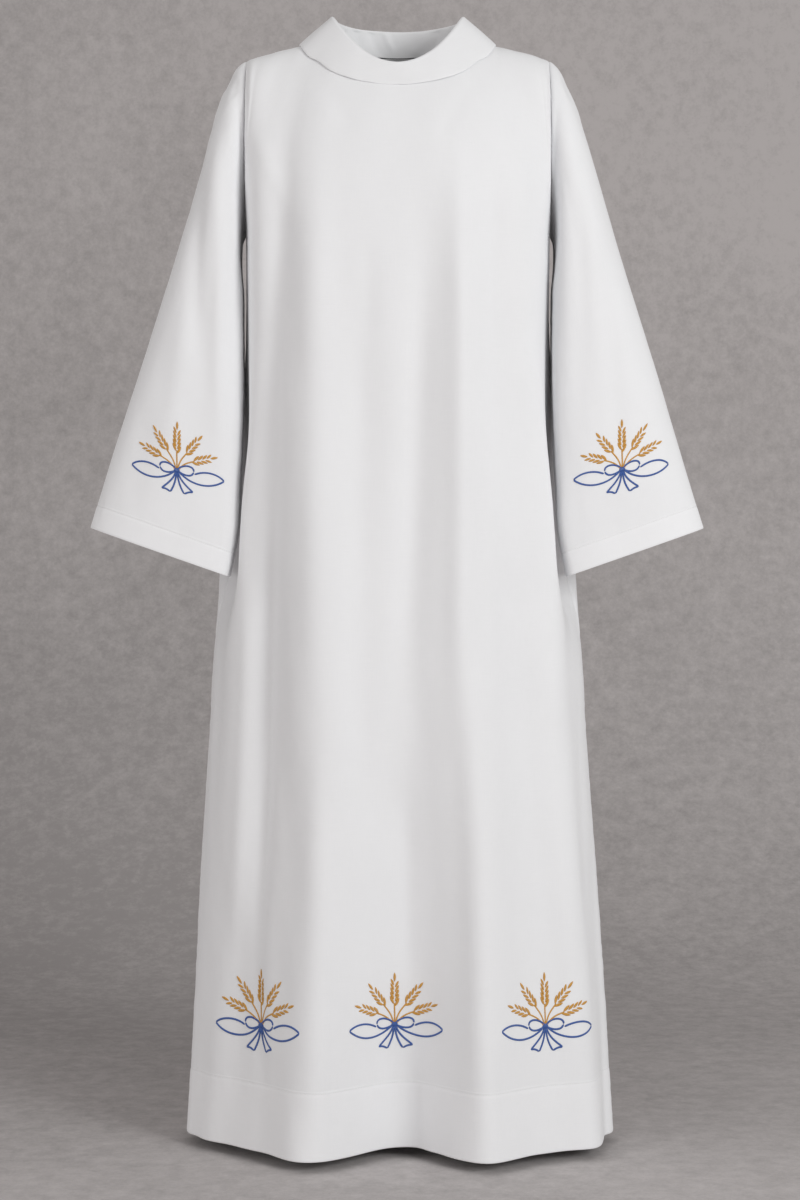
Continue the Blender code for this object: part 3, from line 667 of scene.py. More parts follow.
def soft_noise(seed, across, down, wrap=None):
    """Smooth random values from -1 to 1 over a lattice, which repeats after wrap cells."""
    size = wrap or NOISE_CELLS
    lattice = np.random.default_rng(seed).uniform(-1, 1, (NOISE_CELLS, size))
    i, j = np.floor(down).astype(int), np.floor(across).astype(int)
    s, t = ease(down - i), ease(across - j)

    def corner(a, b):
        return lattice[(i + a) % NOISE_CELLS, (j + b) % size]

    upper = corner(0, 0) * (1 - t) + corner(0, 1) * t
    lower = corner(1, 0) * (1 - t) + corner(1, 1) * t
    return upper * (1 - s) + lower * s


def fading(share):
    """1 along a crease, dying out towards its ends, where share is 0 and 1."""
    return ease(share / CREASE_FADE) * ease((1 - share) / CREASE_FADE)


def creased(rows, x, z):
    """How far the creases of a table move the cloth out at x and z."""
    out = np.zeros(np.broadcast(x, z).shape)
    for row in rows:
        crease = dict(zip(CREASE_COLUMNS, row))
        run_x, run_z = crease["to_x"] - crease["from_x"], crease["to_z"] - crease["from_z"]
        length = math.hypot(run_x, run_z)
        from_x, from_z = x - crease["from_x"], z - crease["from_z"]
        share = (from_x * run_x + from_z * run_z) / length**2
        away = (from_z * run_x - from_x * run_z) / length - crease["bow"] * 4 * share * (1 - share)
        out += crease["out"] * fading(share) * hump(away, crease["width"])
    return out


def seam_turn(distance, depth):
    """How the cloth turns in towards a seam at this distance from it, and stands up a little beside it."""
    share, place, width = SEAM_RIDGE
    return depth * (share * hump(distance - place, width) - hump(distance, SEAM_WIDTH))


def puckers(seed, along, distance, out, reach=0.012, pitch=0.009):
    """Small gathers that the thread pulls in beside a seam."""
    ripple = soft_noise(seed, along / pitch, along * 0)
    ripple += 0.6 * soft_noise(seed + 1, along / pitch * 1.9, along * 0)
    return out * ripple * np.exp(-distance / reach) * (1 - hump(distance, SEAM_PULL))


def lower_edge(height_at, depth, along, seed):
    """The turned-up band shows outside as a faint step with a line of stitching pulled into it, and the
    edge below it is rounded in."""
    beside = height_at - depth
    (step, step_run), (groove, groove_width) = BAND_STEP, BAND_GROOVE
    out = step * ease(0.5 - beside / step_run) - groove * hump(beside + STITCHES_BELOW, groove_width)
    out += puckers(seed, along, np.abs(beside + 0.002), 0.00028, reach=0.011, pitch=0.0075)
    turn_in, run = EDGE_ROUND
    return out - turn_in * hump(height_at, run)


def unevenness(rows, seed, across, down, closed=False):
    """Soft waves in several sizes. closed says that across runs once round a tube, from 0 to 1."""
    return sum(
        out * soft_noise(seed + i, across * waves, down / height, waves if closed else None)
        for i, (out, waves, height) in enumerate(rows)
    )


def drawn_out(base, from_seam, seam_z, facing):
    """The net with the cloth beside the armhole drawn out, forward where facing is -1, back where it is 1."""
    share = ease((seam_z - ARMPIT_Z) / ARMHOLE_BELOW) * ease((SHOULDER_TIP_Z - seam_z) / ARMHOLE_ABOVE)
    base[..., 1] += facing * ARMHOLE_LIFT * share * hump(from_seam, ARMHOLE_REACH)
    return base


def inner_corner(base, around, drop):
    """The sleeve's net with the front drawn forward beside the body, where it hangs as a flat fold."""
    inner, ahead = -np.cos(around * math.pi), np.clip(np.sin(around * math.pi), 0, 1)
    fuller = ahead**SLEEVE_FOLD_POWER - ahead**SLEEVE_POWER
    begins = ease(inner / SLEEVE_FOLD_SHARE) * ease(drop / SLEEVE_FOLD_RUN)
    base[..., 1] -= SLEEVE_FOLD_DEPTH * fuller * begins
    return base


def clear_of_collar(across, down, side):
    """0 under the collar and 1 from a little below its edge, since the collar lies on plain cloth."""
    edge = sorted((row[1], abs(row[2])) for row in COLLAR_EDGE if row[2] * side <= 0)
    covered = np.interp(np.abs(across), *np.transpose(edge))
    return ease((down - covered) / COLLAR_CALM)


def finished_net(base, out, closed):
    """The net moved out along its normals, with its lengths along and up the cloth."""
    points = base + outward_normals(base, closed) * out[..., None]
    run = lengths(points, 1)
    height = lengths(points, 0)
    return Net(points, outward_normals(points, closed), run - run[:, -1:] / 2, height[-1:] - height)


def panel_net(side, sizes):
    """The finished outer face of the front (-1) or the back (1)."""
    cells, yoke_cells, body_cells = PANEL_CELLS
    across = places(-1, 1, cells, (-1, 1), ACROSS_METRES)
    across = np.unique(np.concatenate([across, (-NECK_SHARE, NECK_SHARE)]))
    body = ARMPIT_Z - HEM_Z
    band = 2 - sizes.hem / body
    yoke = places(0, 1, yoke_cells, (0,), YOKE_METRES)
    down = np.concatenate([yoke[:-1], places(1, 2, body_cells, (band, 2), body)])
    base = panel_point(-side * across[None, :], down[:, None], side)
    run, drop = lengths(base, 1), lengths(base, 0)
    from_side = np.minimum(run, run[:, -1:] - run)
    base = drawn_out(base, from_side, base[..., 2], side)
    width_at, height_at = run - run[:, -1:] / 2, drop[-1:] - drop
    x, z = base[..., 0], base[..., 2]
    seed = 11 if side < 0 else 31
    out = creased(FRONT_CREASES if side < 0 else BACK_CREASES, x, z)
    out += unevenness(PANEL_UNEVEN, seed, width_at, z)
    out *= ease(from_side / SIDE_CALM) * clear_of_collar(across[None, :], down[:, None], side)
    at_armhole = ease((z - ARMPIT_Z) / ARMHOLE_BLEND)
    out += seam_turn(from_side, sizes.seam) * (1 - (1 - ARMHOLE_TURN) * at_armhole)
    out += puckers(seed + 3, z, from_side, 0.0005)
    on_shoulder = np.abs(across[None, :]) >= NECK_SHARE
    at_top = seam_turn(drop, sizes.seam) + puckers(seed + 5, x, drop, 0.0003)
    out += np.where(on_shoulder, 1, 0.5) * at_top
    out += lower_edge(height_at, sizes.hem, width_at, seed + 7)
    return finished_net(base, out, False)


def sleeve_net(hand, sizes):
    """The finished outer face of the wearer's right (-1) or left (1) sleeve."""
    round_cells, cap_cells, length_cells = SLEEVE_CELLS
    around = places(0, 2, round_cells, (1,), ROUND_METRES)
    band = 2 - sizes.cuff / SLEEVE_METRES
    cap = places(0, 1, cap_cells, (0,), CAP_METRES)
    along = np.concatenate([cap[:-1], places(1, 2, length_cells, (band, 2), SLEEVE_METRES)])
    base = sleeve_point(around[None, :], along[:, None], hand)
    if hand > 0:
        base, around = base[:, ::-1], around[::-1]
    run, drop = lengths(base, 1), lengths(base, 0)
    facing = np.where(around <= 1, -1, 1)
    base = drawn_out(base, drop, base[:1, :, 2], facing)
    base = inner_corner(base, around, drop)
    height_at = drop[-1:] - drop
    underarm = run[:, np.argmin(np.abs(around - 1))][:, None]
    from_underarm = np.abs(run - underarm)
    x, z = base[..., 0], base[..., 2]
    in_front = ease(0.5 + 6 * np.sin(np.broadcast_to(around, x.shape) * math.pi))
    front = RIGHT_SLEEVE_FRONT_CREASES if hand < 0 else LEFT_SLEEVE_FRONT_CREASES
    out = creased(front, x, z) * in_front
    out += creased(SLEEVE_BACK_CREASES, x * hand, z) * (1 - in_front)
    seed = 51 if hand < 0 else 71
    out += unevenness(SLEEVE_UNEVEN, seed, np.broadcast_to(around / 2, x.shape), z, closed=True)
    out *= ease(drop / CAP_CALM)
    out += seam_turn(drop, sizes.seam * ARMHOLE_TURN)
    out += puckers(seed + 3, run, drop, 0.0006, reach=0.016, pitch=0.013)
    out += 0.6 * seam_turn(from_underarm, sizes.seam) + puckers(seed + 5, z, from_underarm, 0.0004)
    out += lower_edge(height_at, sizes.cuff, run, seed + 7)
    return finished_net(base, out, True)


def collar_net(sizes):
    """The finished middle face of the collar, from the neckline over the roll to its free edge."""
    round_cells, stand_cells, roll_cells, fall_cells = COLLAR_CELLS
    turn = np.linspace(0, math.tau, round_cells + 1)
    stand = places(0, 1, stand_cells, (0,), STAND_METRES)
    roll = np.linspace(1, 2, roll_cells + 1)[1:-1]
    fall = places(2, 3, fall_cells, (3,), FALL_METRES)
    across = np.concatenate([stand, roll, fall])
    base = collar_point(turn[None, :], across[:, None])
    run, drop = lengths(base, 1), lengths(base, 0)
    turned, up = np.broadcast_arrays(turn[None, :], across[:, None])
    out = np.zeros(turned.shape)
    for row in COLLAR_CREASES:
        crease = dict(zip(COLLAR_COLUMNS, row))
        share = (up - crease["starts"]) / (crease["ends"] - crease["starts"])
        at = math.radians(crease["turn"]) + math.radians(crease["lean"]) * share
        away = (turned - at + math.pi) % math.tau - math.pi
        out += crease["out"] * fading(share) * hump(away * run[:, -1:] / math.tau, crease["width"])
    share = turned / math.tau
    out += unevenness(COLLAR_UNEVEN, 91, share, up, closed=True)
    out *= ease(drop / STAND_CALM)
    out += puckers(95, run, drop, 0.0003)
    height_at = drop[-1:] - drop
    drawn_in, reach = EDGE_DRAWN_IN
    out -= drawn_in * np.exp(-height_at / reach)
    ripple, waves, reach = EDGE_RIPPLE
    out += ripple * soft_noise(97, share * waves, up * 0, waves) * np.exp(-height_at / reach)
    return finished_net(base, out, True)


# ---------------- meshes from the nets
def new_grid(name, columns, rows):
    """A flat grid of that many points, selected alone, which run from left to right and bottom to top."""
    bpy.ops.object.select_all(action="DESELECT")
    bpy.ops.mesh.primitive_grid_add(x_subdivisions=columns - 1, y_subdivisions=rows - 1, size=1)
    obj = bpy.context.object
    obj.name = obj.data.name = name
    if len(obj.data.vertices) != rows * columns:
        raise RuntimeError(f"{name}: the grid has {len(obj.data.vertices)} points, not {rows * columns}")
    return obj


def set_points(mesh, points):
    mesh.vertices.foreach_set("co", np.ascontiguousarray(points, np.float32).ravel())
    mesh.update()


def set_lengthwise_uv(mesh, across, up):
    """The mesh's UV map, in metres along and up the cloth."""
    corners = np.empty(len(mesh.loops), np.int32)
    mesh.loops.foreach_get("vertex_index", corners)
    uv = np.stack([across.ravel()[corners], up.ravel()[corners]], axis=-1)
    layer = mesh.uv_layers.active or mesh.uv_layers.new()
    layer.name = "cloth"
    layer.data.foreach_set("uv", uv.astype(np.float32).ravel())


def merge_doubles():
    """Merges the active piece's points that lie on each other, which closes a tube along its last column."""
    bpy.ops.object.mode_set(mode="EDIT")
    bpy.ops.mesh.select_all(action="SELECT")
    bpy.ops.mesh.remove_doubles(threshold=0.000001)
    bpy.ops.object.mode_set(mode="OBJECT")


def apply_all(obj):
    bpy.context.view_layer.objects.active = obj
    for modifier in list(obj.modifiers):
        bpy.ops.object.modifier_apply(modifier=modifier.name)


def cloth_shell(name, net, closed, single, thick, is_thick, offset):
    """A shell of cloth through the net. Its wall is thick where is_thick is 1 and single where it is 0."""
    rows, columns = net.points.shape[:2]
    obj = new_grid(name, columns, rows)
    set_points(obj.data, net.points[::-1])
    set_lengthwise_uv(obj.data, net.width_at[::-1], net.height_at[::-1])
    group = obj.vertex_groups.new(name="doubled cloth")
    share = is_thick[::-1].ravel()
    for level in np.unique(share):
        group.add(np.flatnonzero(share == level).tolist(), float(level), "REPLACE")
    if closed:
        merge_doubles()
    wall = obj.modifiers.new("Wall", "SOLIDIFY")
    wall.thickness = thick
    wall.offset = offset
    wall.vertex_group = group.name
    wall.thickness_vertex_group = single / thick
    apply_all(obj)
    obj.vertex_groups.clear()
    bpy.ops.object.shade_smooth_by_angle(angle=math.radians(45))
    return obj


# ---------------- materials
BUMP_DISTANCE = 0.00012


class Nodes:
    """Adds nodes to one material and links them."""

    def __init__(self, name):
        self.material = bpy.data.materials.new(name)
        self.material.use_nodes = True
        self.tree = self.material.node_tree
        self.shader = self.tree.nodes["Principled BSDF"]

    def add(self, kind, inputs=(), **settings):
        node = self.tree.nodes.new(kind)
        for key, value in settings.items():
            setattr(node, key, value)
        self.give(node, inputs)
        return node

    def give(self, node, inputs):
        """Links a node's inputs to sockets or sets them to values."""
        for key, value in dict(inputs).items():
            if isinstance(value, bpy.types.NodeSocket):
                self.tree.links.new(value, node.inputs[key])
            else:
                node.inputs[key].default_value = value

    def with_inputs(self, inputs):
        """Gives the shader its inputs, and gives back the material."""
        self.give(self.shader, inputs)
        return self.material

    def bump(self, height, strength):
        inputs = {"Strength": strength, "Distance": BUMP_DISTANCE, "Height": height}
        return self.add("ShaderNodeBump", inputs).outputs[0]

    def maths(self, operation, *values):
        return self.add("ShaderNodeMath", dict(enumerate(values)), operation=operation).outputs[0]

    def uv(self):
        """The two lengths along and up the cloth, in metres."""
        uv = self.add("ShaderNodeUVMap", uv_map="cloth")
        parts = self.add("ShaderNodeSeparateXYZ", {0: uv.outputs[0]})
        return parts.outputs[0], parts.outputs[1]

    def noise(self, x, y, per_x, per_y, detail=2.0):
        """Noise with that many features a metre each way."""
        scaled = {0: self.maths("MULTIPLY", x, per_x), 1: self.maths("MULTIPLY", y, per_y)}
        place = self.add("ShaderNodeCombineXYZ", scaled)
        node = self.add("ShaderNodeTexNoise", {"Vector": place.outputs[0], "Scale": 1.0, "Detail": detail})
        return node.outputs[0]

    def between(self, factor, low, high):
        """A colour between two, by a factor from 0 to 1."""
        inputs = {0: factor, 6: (*low, 1), 7: (*high, 1)}
        return self.add("ShaderNodeMix", inputs, data_type="RGBA").outputs[2]


THREADS = 2100.0  # threads of the cloth a metre


def shade(colour, share):
    return tuple(min(1.0, channel * share) for channel in colour)


def robe_cloth(name, colour, band=None):
    """White plain-woven cloth: fine threads both ways with slubs, and a slightly denser turned-up band."""
    n = Nodes(name)
    across, up = n.uv()
    warp = n.maths("SINE", n.maths("MULTIPLY", across, THREADS * math.pi))
    weft = n.maths("SINE", n.maths("MULTIPLY", up, THREADS * math.pi))
    weave = n.maths("MULTIPLY", warp, weft)
    long_slubs = n.noise(across, up, 1500.0, 45.0)
    cross_slubs = n.noise(across, up, 38.0, 1400.0)
    slubs = n.maths("ADD", long_slubs, cross_slubs)
    cloudy = n.noise(across, up, 16.0, 9.0, 3.0)
    tone = n.maths("ADD", n.maths("MULTIPLY", slubs, 0.34), n.maths("MULTIPLY", cloudy, 0.30))
    if band:
        in_band = n.maths("LESS_THAN", up, band)
        tone = n.maths("ADD", tone, n.maths("MULTIPLY", in_band, 0.22))
    height = n.maths("ADD", n.maths("MULTIPLY", weave, 0.35), slubs)
    return n.with_inputs(
        {
            "Base Color": n.between(tone, shade(colour, 0.93), shade(colour, 1.06)),
            "Roughness": n.maths("MULTIPLY_ADD", slubs, 0.08, 0.80),
            "Specular IOR Level": 0.25,
            "Sheen Weight": 0.12,
            "Sheen Roughness": 0.45,
            "Normal": n.bump(height, 0.30),
        }
    )


STITCHES = 2300.0  # threads of satin stitch a metre of line


def satin_thread(name, colour):
    """Glossy embroidery thread laid side by side across each line, with painted highlight on each strand and
    painted shade between strands.
    """
    n = Nodes(name)
    along, across = n.uv()
    lean = n.maths("MULTIPLY_ADD", across, 0.35, along)
    strand_bump_and_shade = n.maths("SINE", n.maths("MULTIPLY", lean, STITCHES * 2 * math.pi))
    each = n.noise(lean, across, STITCHES * 0.5, 90.0, 1.0)
    # tone: each thread's own brightness, plus painted highlight and shade that follow the strands' ridges
    tone = n.maths("MULTIPLY_ADD", strand_bump_and_shade, 0.16, each)
    return n.with_inputs(
        {
            "Base Color": n.between(tone, shade(colour, 0.62), shade(colour, 1.32)),
            "Roughness": n.maths("MULTIPLY_ADD", each, 0.16, 0.30),
            "Specular IOR Level": 0.55,
            "Sheen Weight": 0.10,
            "Normal": n.bump(strand_bump_and_shade, 0.55),
        }
    )


def studio_paper(name, colour):
    """Matte studio paper, mottled all over, with painted light on it: lighter to the right, towards the front
    of the floor and up the wall, which leaves painted shade where it bends up from the floor.
    """
    n = Nodes(name)
    place = n.add("ShaderNodeTexCoord").outputs["Object"]
    parts = n.add("ShaderNodeSeparateXYZ", {0: place}).outputs
    # painted light and shade: lighter towards the front of the floor (near), higher up the wall (high) and to
    # the right, darkest where the paper bends up
    near = n.add("ShaderNodeMapRange", {0: parts[1], 1: 0.9, 2: -0.1, 3: 0.0, 4: 0.72}).outputs[0]
    high = n.add("ShaderNodeMapRange", {0: parts[2], 1: -1.4, 2: 0.2, 3: 0.0, 4: 1.0}).outputs[0]
    light = n.maths("MULTIPLY_ADD", parts[0], 0.16, n.maths("MULTIPLY", n.maths("MAXIMUM", near, high), 0.65))
    soft = n.add("ShaderNodeTexNoise", {"Vector": place, "Scale": 2.2, "Detail": 4.0}).outputs[0]
    felted = {"Vector": place, "Scale": 34.0, "Detail": 8.0, "Roughness": 0.85}
    fine = n.add("ShaderNodeTexNoise", felted).outputs[0]
    mottled = n.maths("MULTIPLY_ADD", fine, 2.50, n.maths("MULTIPLY_ADD", soft, 0.75, -1.445))
    # tone: the painted light and shade, with the paper's own mottling on it
    tone = n.maths("ADD", light, mottled)
    painted = n.between(tone, shade(colour, 0.70), shade(colour, 1.07))
    return n.with_inputs({"Base Color": painted, "Roughness": 0.95, "Specular IOR Level": 0.15})


def material_of(name, maker, *args):
    """The material of that name, made the first time that it is asked for."""
    return bpy.data.materials.get(name) or maker(name, *args)


def hand_over(obj, material):
    """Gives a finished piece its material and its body."""
    obj.data.materials.clear()
    obj.data.materials.append(material)
    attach(obj, "root")


# ---------------- small work laid on the cloth
def read_along(at, run, values):
    """The columns of values, known at run, read at other places."""
    return np.stack([np.interp(at, run, column) for column in values.T], axis=-1)


PATCH_CELLS = 72


def patch(net, column, height, half):
    """A regular net, true to length, round the place at that column and height above the lower edge.
    It gives places and normals for shares from -1 to 1 of its half size, both ways."""
    middle = net.height_at[:, column]
    ways = np.linspace(-1, 1, PATCH_CELLS) * half
    row_at = np.interp(height + ways, middle[::-1], np.arange(len(middle))[::-1])
    found = []
    for row in row_at:
        upper = min(int(row), len(middle) - 2)
        share = row - upper
        points = net.points[upper] * (1 - share) + net.points[upper + 1] * share
        normals = net.normals[upper] * (1 - share) + net.normals[upper + 1] * share
        run = lengths(points[None], 1)[0]
        run = run - run[column]
        found.append(read_along(ways, run, np.concatenate([points, normals], axis=1)))
    return np.array(found)


def on_patch(found, across, up):
    """Places and normals at shares from -1 to 1 of the patch."""
    cells = len(found)
    j = np.clip((across + 1) / 2 * (cells - 1), 0, cells - 1.001)
    i = np.clip((up + 1) / 2 * (cells - 1), 0, cells - 1.001)
    i0, j0 = i.astype(int), j.astype(int)
    s, t = (i - i0)[:, None], (j - j0)[:, None]
    upper = found[i0, j0] * (1 - t) + found[i0, j0 + 1] * t
    lower = found[i0 + 1, j0] * (1 - t) + found[i0 + 1, j0 + 1] * t
    both = upper * (1 - s) + lower * s
    return both[:, :3], unit(both[:, 3:])


# ---------------- embroidery
# The design is drawn in millimetres about its own middle: a sheaf of five wheat ears over a tied ribbon.
MOTIF_HALF_WIDTH = 68.0
MOTIF_HALF_HEIGHT = 50.0
LINE_STEP = 1.1  # millimetres between the sections of a line
RING = 8  # points round a line's section
# A row for each ear: where its stem leaves the knot, the handle of its bend, where the ear starts and ends,
# and how many pairs of grains it has.
EAR_COLUMNS = ("root", "bend", "neck", "tip", "pairs")
EARS = [
    ((0.0, -17.0), (0.6, -6.0), (0.0, 4.0), (0.5, 43.0), 5),
    ((-1.2, -17.0), (-4.0, -5.0), (-13.0, 4.5), (-35.0, 33.0), 4),
    ((1.2, -17.0), (4.0, -5.0), (13.0, 4.5), (35.5, 32.0), 4),
    ((-2.2, -18.0), (-8.0, -9.0), (-22.0, -4.0), (-56.0, 9.0), 4),
    ((2.2, -18.0), (8.0, -9.0), (22.0, -4.0), (56.5, 8.0), 4),
]
STEM_WIDTH = 0.8  # as a share of the ribbon's line
GRAIN_LENGTH = 11.0
GRAIN_WIDTH = 3.4
GRAIN_ANGLE = 27.0
GRAIN_SHRINK = 0.22  # how much smaller the topmost pair would be
# The satin-stitched knot, as its left end, its length and its width.
KNOT_PLACE, KNOT_LENGTH, KNOT_WIDTH = (-4.2, -18.4), 8.4, 5.6
# How far each lies on the line before it: ribbon, last grain and knot.
RIBBON_LIFT, TOP_LIFT, KNOT_LIFT = 0.25, 0.3, 0.6
# A row for each blue line, as the four points of a curve: two loops, two forked tails and two leaves.
RIBBON = [
    ((0, -18), (-9, -8), (-25, -9), (-23, -17)),
    ((-23, -17), (-21, -25), (-9, -24), (0, -18)),
    ((0, -18), (9, -8), (25, -9), (23, -17)),
    ((23, -17), (21, -25), (9, -24), (0, -18)),
    ((-1.5, -20), (-4, -30), (-12, -36), (-21, -44)),
    ((-0.8, -20), (-1, -32), (-5, -40), (-9, -47)),
    ((-21, -44), (-17, -43), (-13, -44), (-9, -47)),
    ((1.5, -20), (4, -30), (12, -36), (22, -43)),
    ((0.8, -20), (1, -32), (5, -40), (10, -47)),
    ((22, -43), (18, -43), (14, -44), (10, -47)),
    ((-3, -20), (-20, -35), (-46, -36), (-65, -20)),
    ((-24, -20), (-36, -13), (-54, -12), (-65, -20)),
    ((3, -20), (20, -35), (46, -36), (65, -21)),
    ((24, -20), (36, -13), (54, -12), (65, -21)),
]
Line = namedtuple("Line", "points widths lift")


def evenly(points, step):
    """The same curve with points a step apart."""
    run = lengths(points[None], 1)[0]
    count = max(4, int(round(run[-1] / step)) + 1)
    return read_along(np.linspace(0, run[-1], count), run, points)


def curve(start, first, second, end):
    t = np.linspace(0, 1, 60)
    return evenly(bezier(*(np.array(p, float) for p in (start, first, second, end)), t), LINE_STEP)


def plain_line(points, width, lift=0.0):
    """A line of even width with rounded ends."""
    share = np.linspace(0, 1, len(points))
    ends = np.minimum(share, 1 - share) * (len(points) - 1) / 1.6
    return Line(points, width * np.sqrt(np.clip(ends, 0, 1)), lift)


def grain(base, angle, length, width, lift=0.15):
    """A pointed grain of satin stitch."""
    share = np.linspace(0, 1, int(length / LINE_STEP) + 3)
    way = np.array([math.cos(angle), math.sin(angle)])
    points = base + way * (share * length)[:, None]
    return Line(points, width * np.sin(share * math.pi) ** 0.7, lift)


def wheat_ear(row, line_width):
    """The stem, the pairs of grains and the last grain."""
    ear = dict(zip(EAR_COLUMNS, row))
    root, bend, neck, tip = (np.array(ear[place]) for place in ("root", "bend", "neck", "tip"))
    way = tip - neck
    length = np.linalg.norm(way)
    way = way / length
    aside = np.array([-way[1], way[0]])
    angle, spread = math.atan2(way[1], way[0]), math.radians(GRAIN_ANGLE)
    lines = [plain_line(curve(root, bend, neck - way * 8, neck + way * 3), line_width * STEM_WIDTH)]
    room = length - GRAIN_LENGTH
    for i in range(ear["pairs"]):
        share = i / ear["pairs"]
        size = 1 - GRAIN_SHRINK * share
        for hand in (-1, 1):
            base = neck + way * (room * (share + 0.05 * hand)) + aside * hand * 0.7
            lines.append(grain(base, angle + hand * spread, GRAIN_LENGTH * size, GRAIN_WIDTH * size))
    lines.append(grain(neck + way * room, angle, GRAIN_LENGTH, GRAIN_WIDTH * 0.9, TOP_LIFT))
    return lines


def motif_lines(sizes):
    """The lines of the design by thread."""
    width = sizes.line * 1000
    gold = [line for row in EARS for line in wheat_ear(row, width)]
    blue = [plain_line(curve(*row), width, RIBBON_LIFT) for row in RIBBON]
    knot = [grain(np.array(KNOT_PLACE), 0.0, KNOT_LENGTH, KNOT_WIDTH, KNOT_LIFT)]
    return {"gold": gold, "blue": blue + knot}


def line_mesh(name, lines, relief):
    """The lines lying flat, in metres, as closed raised strips. Each strip is a stretch of one grid."""
    rows = sum(len(line.points) for line in lines)
    ring = np.arange(RING + 1) * 2 * math.pi / RING
    points, along_at, ends = [], [], [0]
    for line in lines:
        way = unit(np.gradient(line.points, axis=0))
        aside = np.stack([-way[:, 1], way[:, 0]], axis=-1)
        saw = 1 + 0.05 * np.where(np.arange(len(line.points)) % 2, 1, -1)
        half = (line.widths * saw / 2)[:, None]
        flat = line.points[:, None, :] + aside[:, None, :] * (half * np.cos(ring))[..., None]
        high = relief * 1000 * np.clip(half * 1.3, 0, 1) ** 0.7 * np.sin(ring)
        high = np.where(high < 0, high * 0.35, high) + line.lift * np.clip(half, 0, 1)
        points.append(np.concatenate([flat, high[..., None]], axis=-1))
        along_at.append(lengths(line.points[None], 1)[0] + ends[-1] * LINE_STEP)
        ends.append(ends[-1] + len(line.points))
    obj = new_grid(name, RING + 1, rows)
    mesh = obj.data
    set_points(mesh, np.concatenate(points) / 1000)
    along = np.repeat(np.concatenate(along_at)[:, None], RING + 1, axis=1) / 1000
    round_at = np.repeat(ring[None], rows, axis=0) * 0.0004
    set_lengthwise_uv(mesh, along, round_at)
    shaped = bmesh.new()
    shaped.from_mesh(mesh)
    between = [f for f in shaped.faces if min(v.index for v in f.verts) // (RING + 1) + 1 in ends]
    bmesh.ops.delete(shaped, geom=between, context="FACES_ONLY")
    bmesh.ops.remove_doubles(shaped, verts=shaped.verts, dist=0.000002)
    shaped.to_mesh(mesh)
    shaped.free()
    return obj


def lay_on(obj, net, column, height, angle, size):
    """Bends a flat piece onto the cloth, with its middle at that column and height."""
    points = np.empty(len(obj.data.vertices) * 3, np.float32)
    obj.data.vertices.foreach_get("co", points)
    flat = points.reshape(-1, 3).astype(float) * (size, size, 1)
    turned_x = flat[:, 0] * math.cos(angle) - flat[:, 1] * math.sin(angle)
    turned_y = flat[:, 0] * math.sin(angle) + flat[:, 1] * math.cos(angle)
    half = size * math.hypot(MOTIF_HALF_WIDTH, MOTIF_HALF_HEIGHT) / 1000
    found = patch(net, column, height, half)
    place, normal = on_patch(found, turned_x / half, turned_y / half)
    set_points(obj.data, place + normal * flat[:, 2:])


def embroider(name, net, column, motif, sizes, colours):
    """One motif in two threads, laid on the cloth."""
    for thread, lines in motif_lines(sizes).items():
        obj = line_mesh(f"{name}_{thread}", lines, sizes.relief)
        lay_on(obj, net, column, motif["height"], math.radians(motif["turn"]), motif["size"])
        bpy.ops.object.shade_smooth()
        hand_over(obj, material_of(f"{thread}_thread", satin_thread, tuple(getattr(colours, thread))))


# ---------------- hem stitches
STITCH_PITCH = 1.22  # as a share of a stitch's length
STITCH_HALF_WIDTH = 0.00022
STITCH_HALF_HEIGHT = 0.00020
STITCH_LIFT = 0.00002


def row_at_height(net, high):
    """Places and normals at one height above the lower edge, from left to right."""
    both = np.concatenate([net.points, net.normals], axis=-1)[::-1]
    heights = net.height_at[::-1]
    return np.array([read_along(high, heights[:, j], both[:, j]) for j in range(both.shape[1])])


def stitch_row(name, net, depth, sizes, colours):
    """A row of straight stitches along the turned-up band, just below its top."""
    bpy.ops.object.select_all(action="DESELECT")
    bpy.ops.mesh.primitive_uv_sphere_add(segments=6, ring_count=4, radius=1)
    model = bpy.context.object
    shape = np.array([v.co for v in model.data.vertices])[:, [2, 0, 1]]
    faces = sorted(list(p.vertices) for p in model.data.polygons)  # their order varies otherwise
    bpy.data.objects.remove(model)
    both = row_at_height(net, depth - STITCHES_BELOW)
    run = lengths(both[None, :, :3], 1)[0]
    pitch = sizes.stitch * STITCH_PITCH
    at = np.arange(pitch, run[-1] - pitch * 0.5, pitch)
    both = read_along(at, run, both)
    centre, normal = both[:, :3], both[:, 3:]
    way = unit(np.gradient(centre, axis=0))
    local = shape * (sizes.stitch / 2, STITCH_HALF_WIDTH, STITCH_HALF_HEIGHT) + (0, 0, STITCH_LIFT)
    points = centre[:, None]
    for k, axis in enumerate((way, np.cross(normal, way), normal)):
        points = points + axis[:, None] * local[:, k : k + 1]
    mesh = bpy.data.meshes.new(name)
    every = [[i * len(shape) + v for v in face] for i in range(len(at)) for face in faces]
    mesh.from_pydata(points.reshape(-1, 3).tolist(), [], every)
    obj = bpy.data.objects.new(name, mesh)
    bpy.context.scene.collection.objects.link(obj)
    set_lengthwise_uv(mesh, at[:, None] + local[:, 0], np.tile(local[:, 1], len(at)))
    mesh.shade_smooth()
    hand_over(obj, material_of("sewing_thread", satin_thread, tuple(colours.cloth)))


# ---------------- the pieces
PANELS = {"front": -1, "back": 1}
SLEEVES = {"sleeve_right": -1, "sleeve_left": 1}


